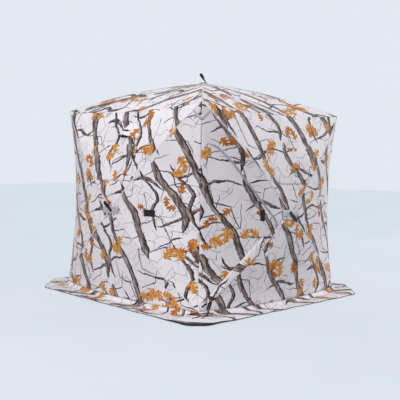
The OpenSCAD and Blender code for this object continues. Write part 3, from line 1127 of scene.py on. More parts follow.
    def paint(self, r: Recipe) -> None:
        """Lay the print on the cloth's ground, then the weave and its creases.

        Args:
            r: The material being made.
        """
        cut = r.cut_coordinates()
        wobble = r.noise_node(cut, 7.0, 3.0, 0.6).outputs["Color"]
        wobble = r.vector("SCALE", r.vector("SUBTRACT", wobble, (0.5, 0.5, 0.5)), scale=0.060)
        place = r.vector("ADD", cut, wobble)
        x, y, _ = r.split(place)
        row = r.math("FLOOR", y / self.high)
        up = y / self.high - row
        across = r.math("WRAP", x + row * self.drift, self.wide, 0.0)
        trunk = self.limbs(r, up, across, self.trunks, self.wide) + self.growth
        branch = self.limbs(r, across / self.wide, up * self.high, self.branches, self.high)
        depth = trunk.most(branch)
        lit = self.limbs(r, up, across + self.light, self.trunks, self.wide) + self.growth
        lit_up = up * self.high - self.light / 2
        lit = lit.most(self.limbs(r, across / self.wide, lit_up, self.branches, self.high))
        edge_noise = r.noise(cut, 60.0, 3.0, 0.6)
        wood = (depth + (edge_noise - 0.5) * 0.012).fade(-0.0008, 0.0012)
        twig = self.twig(r, place, 0.72, 1.0).most(self.twig(r, place, -0.86, 1.25)).fade(-0.0020, -0.0002)
        fine = self.twig(r, place, 0.25, 0.46).most(self.twig(r, place, -1.3, 0.55))
        fine = fine.most(self.twig(r, place, 1.25, 0.62)).fade(-0.0014, 0.0)
        patchy = r.noise(cut, 2.6, 1.0)
        # bark
        leaning = r.node("VectorRotate", {"rotation_type": "Z_AXIS"}, {"Vector": place, "Angle": -0.42})
        streak_place = r.vector("MULTIPLY", leaning.outputs["Vector"], (44.0, 9.0, 1.0))
        streak = r.noise(streak_place, 1.0, 4.0, 0.65)
        inner = lit.fade(-0.002, 0.010) * depth.fade(0.0, 0.009)
        bark = r.mix(inner, self.bark[0], self.bark[1])
        bark = r.mix(streak.fade(0.48, 0.60) * inner * 0.9, bark, self.bark[2])
        bark = r.mix(streak.fade(0.47, 0.38) * 0.75, bark, self.bark[0])
        bark = r.mix(edge_noise.fade(0.56, 0.70) * 0.45, bark, self.bark[0])
        # cloth ground
        cloudy = r.noise(cut, 2.2, 2.0)
        # painted light: shares under 1 paint shade on the ground, shares over 1 paint a highlight
        ground = scaled(self.ground, self.painted_light_share)
        colour = r.mix(cloudy.fade(0.40, 0.62), ground, scaled(ground, 0.93))
        colour = r.mix(fine * patchy.fade(0.34, 0.52) * 0.75, colour, self.twig_tones[1])
        colour = r.mix(twig * 0.95, colour, self.twig_tones[0])
        colour = r.mix(wood, colour, bark)
        # leaves
        speckle = r.noise(cut, 60.0, 3.0, 0.7)
        for spacing, size, share, seed, lean in self.leaf_layers:
            mask, rim, veins, along, chance = self.leaf(r, place, spacing, size, share, seed, lean)
            paint = r.mix(speckle.fade(0.40, 0.58) * chance.fade(0.15, 0.75), self.leaves[1], self.leaves[2])
            paint = r.mix(chance.fade(0.50, 0.12) * along.fade(0.9, -0.9) * 0.8, paint, self.leaves[0])
            paint = r.mix(veins.most(rim) * 0.62, paint, self.leaves[0])
            colour = r.mix(mask, colour, paint)
        threads_x, threads_y, _ = r.split(cut)
        weave = (threads_x * self.thread).sine() * (threads_y * self.thread).sine()
        crease = r.noise(cut, 9.0, 4.0, 0.55)
        r.bump(crease + weave * 0.012, 0.006, 0.35)
        r.set(Base_Color=colour, Roughness=0.62 + 0.1 * cloudy)
        r.set(Sheen_Weight=0.03, Sheen_Roughness=0.5, Specular_IOR_Level=0.2)


@dataclass(frozen=True)
class PlainCloth(Surface):
    """Coated cloth in one colour, with a weave, soft creases and faint stains."""

    colour: Colour
    rough: float = 0.7
    crease: float = 0.004
    thread: float = 3100.0

    def paint(self, r: Recipe) -> None:
        """Feed the shader.

        Args:
            r: The material being made.
        """
        place = r.object_coordinates()
        cloudy = r.noise(place, 5.0, 3.0)
        x, y, z = r.split(place)
        weave = (x * self.thread).sine() * ((y + z) * self.thread).sine()
        r.set(Base_Color=r.mix(cloudy.fade(0.38, 0.66), self.colour, scaled(self.colour, 0.82)))
        r.set(Roughness=self.rough + 0.12 * (cloudy - 0.5))
        r.bump(r.noise(place, 22.0, 3.0) + weave * 0.02, self.crease, 0.5)


@dataclass(frozen=True)
class SeamCloth(Surface):
    """Folded seam tape with a row of stitches near each edge."""

    colour: Colour
    width: float = 0.010
    stitch: float = 0.0036
    thread: Colour = tone(150, 146, 156)

    def paint(self, r: Recipe) -> None:
        """Feed the shader.

        Args:
            r: The material being made.
        """
        place = r.cut_coordinates()
        x, y, _ = r.split(place)
        middle = abs(x - self.width / 2.0)
        row = abs(middle - self.width * 0.30).fade(0.0006, 0.0003)
        dash = (y * (2.0 * math.pi / self.stitch)).sine().fade(-0.6, 0.2)
        thread = row * dash
        rub = r.noise(place, 40.0, 3.0)
        colour = r.mix(rub.fade(0.42, 0.66), self.colour, scaled(self.colour, 0.8))
        r.set(Base_Color=r.mix(thread, colour, self.thread), Roughness=0.7 + 0.1 * rub)
        r.bump(thread - row * 0.8 + rub * 0.3, 0.0008, 0.7)


@dataclass(frozen=True)
class Webbing(Surface):
    """Woven strap: ribs across it."""

    colour: Colour
    pitch: float = 0.0022

    def paint(self, r: Recipe) -> None:
        """Feed the shader.

        Args:
            r: The material being made.
        """
        place = r.cut_coordinates()
        x, y, _ = r.split(place)
        k = 2.0 * math.pi / self.pitch
        rib = (y * k + (x * k * 0.5).sine() * 1.2).sine()
        worn = r.noise(place, 90.0, 2.0)
        light = scaled(self.colour, 2.0, 0.004)
        r.set(Base_Color=r.mix(rib * 0.25 + worn.fade(0.45, 0.75) * 0.5, self.colour, light))
        r.set(Roughness=0.62 + worn * 0.15, Specular_IOR_Level=0.4)
        r.bump(rib + worn * 0.6, 0.0006, 0.8)


@dataclass(frozen=True)
class Moulded(Surface):
    """Moulded plastic or drawn rod: fine grain, scuffed a little."""

    colour: Colour
    rough: float = 0.45
    metal: float = 0.0
    grain: float = 260.0

    def paint(self, r: Recipe) -> None:
        """Feed the shader.

        Args:
            r: The material being made.
        """
        place = r.object_coordinates()
        grain = r.noise(place, self.grain, 2.0)
        scuff = r.scuffs(place)
        light = scaled(self.colour, 1.6, 0.02)
        r.set(Base_Color=r.mix(scuff * 0.5, self.colour, light), Metallic=self.metal)
        r.set(Roughness=self.rough + scuff * 0.2)
        r.bump(grain, 0.0004, 0.5)


@dataclass(frozen=True)
class HubPlastic(Surface):
    """Black hub body inside the shelter, with a pale plate outside the cloth.

    The faces are how far out from the middle, and how high, the plates begin.
    """

    body: Colour = tone(30, 30, 33)
    plate: Colour = tone(216, 213, 221)
    worn_body: Colour = tone(52, 52, 56)
    worn_plate: Colour = tone(204, 201, 209)
    wall_face: float = 1.1325
    roof_face: float = 2.0570

    def paint(self, r: Recipe) -> None:
        """Feed the shader.

        Args:
            r: The material being made.
        """
        place = r.object_coordinates()
        x, y, z = r.split(place)
        outside = abs(x).most(abs(y)).above(self.wall_face).most(z.above(self.roof_face))
        scuff = r.scuffs(place)
        body = r.mix(scuff * 0.5, self.body, self.worn_body)
        plate = r.mix(scuff * 0.5, self.plate, self.worn_plate)
        r.set(Base_Color=r.mix(outside, body, plate), Roughness=0.5 + scuff * 0.2)
        r.bump(r.noise(place, 260.0, 2.0), 0.0004, 0.5)


@dataclass(frozen=True)
class HookTape(Surface):
    """Black hook-and-loop tape: a dense pile of tiny hooks."""

    colour: Colour

    def paint(self, r: Recipe) -> None:
        """Feed the shader.

        Args:
            r: The material being made.
        """
        place = r.object_coordinates()
        pile = r.node("TexVoronoi", None, {"Vector": place, "Scale": 520.0})
        height = Ink(r, pile.outputs["Distance"])
        light = scaled(self.colour, 2.5, 0.004)
        r.set(Base_Color=r.mix(height.fade(0.2, 0.7), light, self.colour), Roughness=0.9)
        r.bump(height, 0.0012, 0.8)


@dataclass(frozen=True)
class Reflective(Surface):
    """Grey reflective patch with a fine bead grid."""

    colour: Colour

    def paint(self, r: Recipe) -> None:
        """Feed the shader.

        Args:
            r: The material being made.
        """
        place = r.object_coordinates()
        beads = Ink(r, r.node("TexVoronoi", None, {"Vector": place, "Scale": 700.0}).outputs["Distance"])
        rub = r.noise(place, 30.0, 4.0, 0.6)
        r.set(Base_Color=r.mix(rub.fade(0.42, 0.66), self.colour, scaled(self.colour, 0.78)))
        r.set(Roughness=0.34 + rub * 0.2, Metallic=0.25)
        r.bump(beads + rub * 0.5, 0.0005, 0.6)


class Finishes:
    """Every material of the shelter, made once."""

    def __init__(self) -> None:
        """Build the materials."""
        self.fabric = WoodPrint("printed_fabric").make()
        self.roof_fabric = WoodPrint("printed_roof", growth=0.014).make()
        # painted shade: the door's cloth is a darker copy of the print
        self.door_fabric = WoodPrint("printed_door", painted_light_share=0.95).make()
        # painted highlight: the storm flap's cloth is a lighter copy of the print
        self.flap_fabric = WoodPrint("printed_flap", painted_light_share=1.03).make()
        self.cover_fabric = WoodPrint("printed_cover").make()
        # painted shade: the skirt's cloth is a darker copy of the print
        self.skirt_fabric = WoodPrint("printed_skirt", painted_light_share=0.96).make()
        self.seam = SeamCloth("seam_tape", tone(232, 229, 238)).make()
        self.lining = PlainCloth("lining", tone(196, 194, 202)).make()
        self.underside = PlainCloth("skirt_underside", tone(20, 20, 22), 0.6).make()
        self.webbing = Webbing("black_webbing", tone(13, 13, 14)).make()
        self.binding = PlainCloth("edge_binding", tone(14, 13, 15), 0.6, 0.001).make()
        self.reflective = Reflective("reflective_patch", tone(184, 182, 192)).make()
        self.corner_cloth = PlainCloth("corner_reinforcement", tone(188, 189, 197), 0.6).make()
        self.hooks = HookTape("hook_tape", tone(7, 7, 8)).make()
        self.rod = Moulded("fibreglass_rod", tone(34, 34, 37), 0.35).make()
        self.hub = HubPlastic("hub_plastic").make()
        self.zip_tape = PlainCloth("zip_tape", tone(214, 211, 220), 0.75, 0.001).make()
        self.zip_coil = Moulded("zip_coil", tone(164, 160, 171), 0.4).make()


def dress(obj: Piece, *materials: Finish) -> None:
    """Give a piece its material slots.

    Args:
        obj: The piece.
        *materials: The finishes, outer one first.
    """
    obj.data.materials.clear()
    for material in materials:
        obj.data.materials.append(material)


# ---- the shelter


def cut_phase(seed: int) -> Phase:
    """Where on the print the panels of one wall were cut.

    Args:
        seed: Number of the wall or piece.

    Returns:
        A function that shifts flat coordinates by facet.
    """
    def shift(uv: Array, kinds: Array) -> Array:
        """Shift each facet's coordinates.

        Args:
            uv: Flat coordinates.
            kinds: Facet of each.

        Returns:
            The shifted coordinates.
        """
        moved = uv.copy()
        moved[:, 0] += 0.53 * seed + 0.31 * kinds
        moved[:, 1] += 0.29 * seed + 0.17 * kinds
        return moved
    return shift


@dataclass
class DoorShape:
    """The door's outline on the front wall, x to the right and z up."""

    sizes: ShelterSizes
    hinge_x: float = 0.075
    bottom: float = 0.092
    head: float = 0.270
    tip: float = 0.175
    rod_gap: float = 0.024
    hinge_gap: float = 0.004
    foot_gap: float = 0.014
    arch: tuple[tuple[float, float], ...] = (
        (0.03, 1.0), (0.09, 0.985), (0.17, 0.92), (0.30, 0.80), (0.46, 0.615), (0.62, 0.44), (0.80, 0.255),
        (0.93, 0.13), (0.985, 0.06))

    def __post_init__(self) -> None:
        """Work out the outline's fixed points."""
        s = self.sizes
        self.slope = (s.hub_z - s.hem_z) / (s.base / 2.0)
        self.x0 = -min(s.base, s.eave) / 2.0 + self.hinge_x
        self.x1 = -self.tip
        self.low_rise = self.rod_gap / math.cos(math.atan(self.slope))
        self.top = s.hub_z - (s.corner_h - s.hub_z) * self.x0 / (s.eave / 2.0) - self.head
        self.z1 = self.low(self.x1)
        self.foot = s.hem_z + self.bottom

    def low(self, x: float) -> float:
        """Height of the door's lower edge."""
        return self.sizes.hub_z + self.slope * x + self.low_rise

    def arch_line(self) -> Array:
        """The arch from the hinge's top to the door's tip, smoothed.

        Returns:
            Rows of x and z.
        """
        points = [(self.x0, self.top - 0.004)]
        points += [(self.x0 + (self.x1 - self.x0) * a, self.z1 + (self.top - self.z1) * b)
                   for a, b in self.arch]
        points.append((self.x1, self.z1 + 0.006))
        return softened(np.array(points))

    def outline(self, shrink: float, hinge: float = 0.0, foot: float = 0.0) -> Array:
        """The closed outline, drawn in by shrink all round and more at the hinge and foot.

        Args:
            shrink: Distance all round.
            hinge: More at the hinge.
            foot: More at the foot.

        Returns:
            Rows of x and z.
        """
        x_in = self.x0 + shrink + hinge
        lower = [(self.x1 - 0.004, self.low(self.x1 - 0.004)), (self.x0 + 0.006, self.low(self.x0 + 0.006))]
        loop = np.vstack([self.arch_line(), lower, [(self.x0, self.foot)]])
        centre = loop.mean(axis=0)
        before, after = np.roll(loop, 1, axis=0), np.roll(loop, -1, axis=0)
        tangent = after - before
        tangent /= np.linalg.norm(tangent, axis=1)[:, None]
        normal = np.column_stack([-tangent[:, 1], tangent[:, 0]])
        flip = np.sign(np.einsum("ij,ij->i", normal, centre - loop))
        loop = loop + normal * flip[:, None] * shrink
        loop[:, 0] = np.maximum(loop[:, 0], x_in)
        loop[:, 1] = np.maximum(loop[:, 1], self.foot + foot)
        return loop


@dataclass
class Windows:
    """The window in each wall's top panel: an upside-down trapezium with round corners."""

    sizes: ShelterSizes
    top_w: float = 0.690
    bottom_w: float = 0.400
    height: float = 0.305
    rise: float = 0.268
    radius: float = 0.045
    shift: tuple[float, ...] = (0.050, -0.050, 0.0, 0.0)
    overlap: float = 0.010
    hole_in: float = 0.012
    cover_lift: float = 0.0022
    cover_t: float = 0.0016

    def outline(self, wall: int, grow: float = 0.0) -> Array:
        """The flat outline of one wall's window, grown by a distance.

        Args:
            wall: Number of the wall.
            grow: The distance.

        Returns:
            Rows of x and z.
        """
        z0 = self.sizes.hub_z + self.rise - grow
        z1 = z0 + self.height + 2.0 * grow
        t, b = self.top_w / 2.0 + grow, self.bottom_w / 2.0 + grow
        loop = rounded_polygon([(-b, z0), (b, z0), (t, z1), (-t, z1)], self.radius + grow)
        return loop + np.array([self.shift[wall], 0.0])


@dataclass
class Vent:
    """The hooded vent high on the left wall."""

    sizes: ShelterSizes
    drop: float = 0.149
    height: float = 0.148
    x: float = 0.140
    lift: float = 0.045
    hood_t: float = 0.0020
    # thickness of the black sheet that paints the shade under the hood
    shade_sheet_t: float = 0.0010
    rim_drop: float = 0.128
    hole_w: float = 0.150
    hole_h: float = 0.060

    def hole(self) -> Array:
        """The flat outline of the opening behind the hood.

        Returns:
            Rows of x and z.
        """
        z = self.sizes.corner_h - self.drop - self.height / 2.0
        low = z - self.hole_h / 2.0 - 0.020
        x0, x1 = self.x - self.hole_w / 2.0, self.x + self.hole_w / 2.0
        return np.array([(x0, low), (x1, low), (x1, low + self.hole_h), (x0, low + self.hole_h)])


@dataclass
class ShelterSkin:
    """The four walls and the roof as continuous printed sheets."""

    form: Form
    finishes: Finishes

    def __post_init__(self) -> None:
        """Set out the openings."""
        self.windows = Windows(self.form.sizes)
        self.vent = Vent(self.form.sizes)
        self.door = DoorShape(self.form.sizes)

    def nodes_of(self, wall: int) -> list[str]:
        """The CAD panels that a wall's sheet stands for."""
        mine = [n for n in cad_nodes() if n.startswith(WALLS[wall] + "_")]
        return [n for n in mine if "panel" in n or "surround" in n]

    def finish_sheet(self, obj: Piece, cloth: Finish) -> float:
        """Dress a sheet, measure its cut area and give it its thickness.

        Args:
            obj: The single layer of cloth.
            cloth: The material of its outside.

        Returns:
            The cut area in square metres.
        """
        dress(obj, cloth, self.finishes.lining)
        area = cloth_area(obj)
        thicken(obj, CLOTH_T, LINING_SLOT)
        return area

    def build_wall(self, wall: int) -> Piece:
        """Build one wall sheet with its window, vent and door openings.

        Args:
            wall: Number of the wall.

        Returns:
            The wall's cloth.
        """
        skin = self.form.wall
        cutter = Cutter(skin, wall)
        holes = [self.windows.outline(wall, -self.windows.hole_in)]
        if WALLS[wall] == "left":
            holes.append(self.vent.hole())
        if WALLS[wall] == "front":
            holes.append(self.door.outline(0.0))
        phase = cut_phase(wall) if WALLS[wall] != "front" else self.front_phase
        obj = cutter.cut(f"{WALLS[wall]}_wall_cloth", skin.border(cutter.step), holes,
                         skin.ridges(cutter.step), phase=phase)
        area = self.finish_sheet(obj, self.finishes.fabric)
        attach(obj, SHELTER)
        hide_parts(*self.nodes_of(wall))
        return obj

    def build_roof(self) -> Piece:
        """Build the roof sheet.

        Returns:
            The roof's cloth.
        """
        skin = self.form.roof
        cutter = Cutter(skin)
        obj = cutter.cut("roof_cloth", skin.border(cutter.step), (), skin.ridges(cutter.step),
                         phase=self.roof_phase)
        area = self.finish_sheet(obj, self.finishes.roof_fabric)
        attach(obj, SHELTER)
        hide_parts(*[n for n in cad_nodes() if n.startswith("roof_") and "panel" in n])
        return obj

    @staticmethod
    def front_phase(uv: Array, kinds: Array) -> Array:
        """Shift the front panels' coordinates, the hinge-side panel's as the door's."""
        beside_door = (kinds == Side.LEFT.value)[:, None]
        return np.where(beside_door, cut_phase(DOOR_CUT)(uv, kinds), cut_phase(0)(uv, kinds))

    @staticmethod
    def roof_phase(uv: Array, kinds: Array) -> Array:
        """Shift each roof panel's coordinates; the print runs one way on all four."""
        return uv + np.column_stack([0.77 * kinds + 0.2, 0.37 * kinds])


@dataclass
class Seams:
    """Tapes sewn along lines on a skin: seams, zip tapes, corner bands and tabs."""

    half: float = 0.005
    lift: float = 0.0009
    thick: float = 0.0010
    step: float = 0.022
    hub_gap: float = 0.05
    end_gap: float = 0.012

    def band(self, name: str, skin: Skin, wall: int, line: Array, half: float, lift: float,
             material: Finish, columns: int = 4, thick: float | None = None) -> Piece:
        """Lay one tape along a flat line.

        Args:
            name: Name of the piece.
            skin: The skin it is sewn to.
            wall: Number of the wall.
            line: Flat polyline of its middle.
            half: Half its width.
            lift: How far it lies off the skin.
            material: Its finish.
            columns: Faces across it.
            thick: Its thickness, where it differs from the tapes'.

        Returns:
            The tape.
        """
        line = resampled(line, self.step)
        share = np.linspace(1.0, -1.0, columns + 1)
        flat = line[:, None, :] + line_normals(line)[:, None, :] * (half * share)[None, :, None]
        solid = turned(skin.surface(flat.reshape(-1, 2), lift), wall)
        obj = new_object(name, solid, grid_faces(len(line) - 1, columns))
        set_cut(obj, ribbon_uv((1.0 - share) * half, lengths_along(line)))
        outward = turned(skin.outward[None, :], wall)[0]
        if np.mean([p.normal @ Vector(outward) for p in obj.data.polygons]) < 0:
            obj.data.flip_normals()
        dress(obj, material)
        thicken(obj, thick or self.thick)
        return obj


def offset_line(line: Array, distance: float) -> Array:
    """Move an open flat polyline sideways, to its left for a positive distance."""
    return line + line_normals(line) * distance


def tube(name: str, path: Array, radius: float, sides: int = 8, loop: bool = False,
         flat: float | Array = 1.0) -> Piece:
    """Sweep a round or flattened section along a path.

    Args:
        name: Name of the piece.
        path: Rows of x, y, z.
        radius: Half its width.
        sides: Faces round it.
        loop: Whether the path closes on itself.
        flat: Height of the section as a share of its width, or one such share for each point.

    Returns:
        The closed tube, with UVs in metres.
    """
    n = len(path)
    if loop:
        tangent = np.roll(path, -1, axis=0) - np.roll(path, 1, axis=0)
    else:
        tangent = np.gradient(path, axis=0)
    tangent /= np.linalg.norm(tangent, axis=1)[:, None]
    up = np.array([0.0, 0.0, 1.0])
    side = np.cross(tangent, up)
    weak = np.linalg.norm(side, axis=1) < 0.05
    side[weak] = np.array([1.0, 0.0, 0.0])
    side /= np.linalg.norm(side, axis=1)[:, None]
    rise = np.cross(side, tangent)
    angle = 2.0 * math.pi * np.arange(sides) / sides
    ring = (side[:, None, :] * np.cos(angle)[None, :, None]
            + rise[:, None, :] * (np.outer(np.broadcast_to(flat, n), np.sin(angle)))[:, :, None]) * radius
    grid = path[:, None, :] + ring
    faces = ring_faces(n, sides, loop)
    along = lengths_along(closed(path) if loop else path)
    uv = []
    for low, top in zip(along[:-1], along[1:]):
        for a, b in ((radius * k, radius * (k + 1)) for k in range(sides)):
            uv.extend([(a, low), (a, top), (b, top), (b, low)])
    if not loop:
        faces.append(tuple(range(sides)))
        faces.append(tuple((n - 1) * sides + k for k in reversed(range(sides))))
        uv.extend([(0.0, 0.0)] * (2 * sides))
    obj = new_object(name, grid.reshape(-1, 3), faces)
    set_cut(obj, np.array(uv))
    return obj


@dataclass
class DoorParts:
    """The zipped door, its storm flap, zip and hinge strip."""

    form: Form
    finishes: Finishes
    skin: ShelterSkin
    flap_low: tuple[tuple[float, float], ...] = (
        (-0.318, 0.584), (-0.400, 0.484), (-0.620, 0.300), (-0.888, 0.058))
    flap_high: tuple[tuple[float, float], ...] = (
        (-0.350, 0.636), (-0.476, 0.520), (-0.678, 0.342), (-0.926, 0.084))
    flap_t: float = 0.0018
    flap_turn: float = 39.0
    strip_t: float = 0.0008
    strip_half: float = 0.010
    fold_half: float = 0.006
    tape: float = 0.009
    coil: float = 0.0019
    slit: float = 0.0012

    def build(self) -> list[Piece]:
        """Build every piece of the door.

        Returns:
            The pieces.
        """
        hinge = self.skin.door.x0
        pieces = [self.panel(), self.flap("door_flap_cloth", hinge + 0.016, 0.0, DOOR),
                  self.flap("flap_foot_cloth", -1.0, hinge - 0.003, SHELTER)]
        pieces += self.zip()
        pieces.append(self.hinge_strip())
        return pieces

    def panel(self) -> Piece:
        """Cut the door panel.

        Returns:
            The door's cloth.
        """
        shape = self.skin.door
        cutter = Cutter(self.form.wall)
        obj = cutter.cut("door_cloth", shape.outline(self.slit, shape.hinge_gap, shape.foot_gap),
                         phase=cut_phase(DOOR_CUT))
        dress(obj, self.finishes.door_fabric, self.finishes.lining)
        thicken(obj, CLOTH_T, LINING_SLOT)
        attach(obj, DOOR)
        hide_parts("door_panel")
        return obj

    def flap_lines(self, start: float, end: float) -> tuple[Array, Array]:
        """The flap's upper and lower edges between two places across the wall, hub end first.

        Args:
            start: The lower x.
            end: The higher x.

        Returns:
            The two edges, rows of x and z.
        """
        edges = []
        for edge in (self.flap_high, self.flap_low):
            points = np.array(edge)[::-1]
            first, last = max(start, points[0, 0]), min(end, points[-1, 0])
            x = np.linspace(last, first, max(2, int((last - first) / 0.013) + 1))
            edges.append(np.column_stack([x, np.interp(x, points[:, 0], points[:, 1])]))
        return edges[0], edges[1]

    def flap(self, name: str, start: float, end: float, body: str) -> Piece:
        """Cut the storm flap over the rod below the door.

        The door folds on its hinge line, so the flap's foot beyond that line is sewn to the wall.

        Args:
            name: Name of the piece.
            start: Where it begins across the wall.
            end: Where it ends across the wall.
            body: The body that carries it.

        Returns:
            The piece of the flap.
        """
        high, low = self.flap_lines(start, end)
        outline = np.vstack([high, low[::-1]])
        wall = self.form.wall
        cutter = Cutter(wall, step=0.018)
        ridge = wall.ridges(cutter.step)[Side.BOTTOM.value]
        ridge = ridge[inside(ridge, outline) & (distance_to_lines(ridge, [high, low]) > 0.006)]

        def proud(flat: Array) -> Array:
            """Lift of the flap: nearly flat, with its edges turned down.

            Args:
                flat: Rows of x and z.

            Returns:
                One lift for each point.
            """
            edge = distance_to_lines(flat, [high, low])
            lift = 0.0036 + 0.0016 * smooth_step(0.0, 0.012, edge) + 0.0009 * np.sin(flat[:, 0] * 43.0)
            if body == SHELTER:
                return lift
            return 0.0012 + (lift - 0.0012) * smooth_step(start, start + 0.09, flat[:, 0])

        obj = cutter.cut(name, outline, (), [ridge] if len(ridge) > 1 else [], lift=proud,
                         phase=self.flap_phase)
        dress(obj, self.finishes.flap_fabric, self.finishes.lining)
        thicken(obj, self.flap_t, LINING_SLOT)
        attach(obj, body)
        if body == DOOR:
            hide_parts("door_storm_flap")
        return obj

    def flap_phase(self, uv: Array, _: Array) -> Array:
        """Turn the flap's print along its length.

        Args:
            uv: Flat coordinates.
            _: Facet of each, which makes no difference.

        Returns:
            The turned coordinates.
        """
        angle = math.radians(self.flap_turn)
        c, s = math.cos(angle), math.sin(angle)
        return np.column_stack([c * uv[:, 0] + s * uv[:, 1] + 1.1, -s * uv[:, 0] + c * uv[:, 1] + 0.55])

    def zip(self) -> list[Piece]:
        """Lay the zip round the door: two tapes and two coils.

        Returns:
            The pieces.
        """
        shape = self.skin.door
        wall = self.form.wall
        arch = resampled(shape.arch_line(), 0.016)
        hinge = shape.x0 + shape.hinge_gap + 0.003
        seams = Seams()
        pieces = []
        for name, side, body in (("zip_tape_frame", -1.0, SHELTER), ("zip_tape_door", 1.0, DOOR)):
            inward = self.slit + self.tape / 2.0
            line = self.toward_door(arch, side * inward)
            line = line[line[:, 0] > (hinge if body == DOOR else shape.x0)]
            obj = seams.band(name, wall, 0, line, self.tape / 2.0, 0.0010, self.finishes.zip_tape, 2,
                             self.strip_t)
            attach(obj, body)
            pieces.append(obj)
        for name, side, body in (("zip_coil_frame", -1.0, SHELTER), ("zip_coil_door", 1.0, DOOR)):
            line = self.toward_door(arch, side * (self.slit + self.coil))
            line = line[line[:, 0] > (hinge + 0.024 if body == DOOR else shape.x0)]
            obj = tube(name, self.form.wall.surface(resampled(line, 0.012), 0.0030), self.coil, 6)
            dress(obj, self.finishes.zip_coil)
            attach(obj, body)
            pieces.append(obj)
        return pieces

    def toward_door(self, line: Array, distance: float) -> Array:
        """Move a line off the arch, into the door for a positive distance.

        Args:
            line: Rows of x and z.
            distance: How far.

        Returns:
            The moved line.
        """
        moved = offset_line(line, distance)
        middle = self.skin.door.outline(0.0).mean(axis=0)
        before = np.linalg.norm(line - middle, axis=1).mean()
        after = np.linalg.norm(moved - middle, axis=1).mean()
        return moved if (after - before) * distance < 0 else offset_line(line, -distance)

    def hinge_strip(self) -> Piece:
        """Sew the strip of cloth that the door folds on.

        Returns:
            The strip.
        """
        shape = self.skin.door
        x0, x1 = shape.x0 - self.strip_half, shape.x0 + shape.hinge_gap + self.strip_half
        z0, z1 = shape.foot + shape.foot_gap, shape.top - 0.02
        outline = resampled(np.array([(x0, z0), (x1, z0), (x1, z1), (x0, z1), (x0, z0)]), 0.012)[:-1]
        cutter = Cutter(self.form.wall, step=0.006)
        obj = cutter.cut("door_hinge_strip", outline, lift=0.0010, phase=cut_phase(DOOR_CUT))
        dress(obj, self.finishes.door_fabric)
        thicken(obj, self.strip_t)
        middle = self.form.wall.surface(np.array([[shape.x0 + shape.hinge_gap / 2.0, (z0 + z1) / 2.0]]))[0]
        start = (middle[0] - self.fold_half, middle[1], middle[2])
        end = (middle[0] + self.fold_half, middle[1], middle[2])
        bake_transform(obj)
        return obj


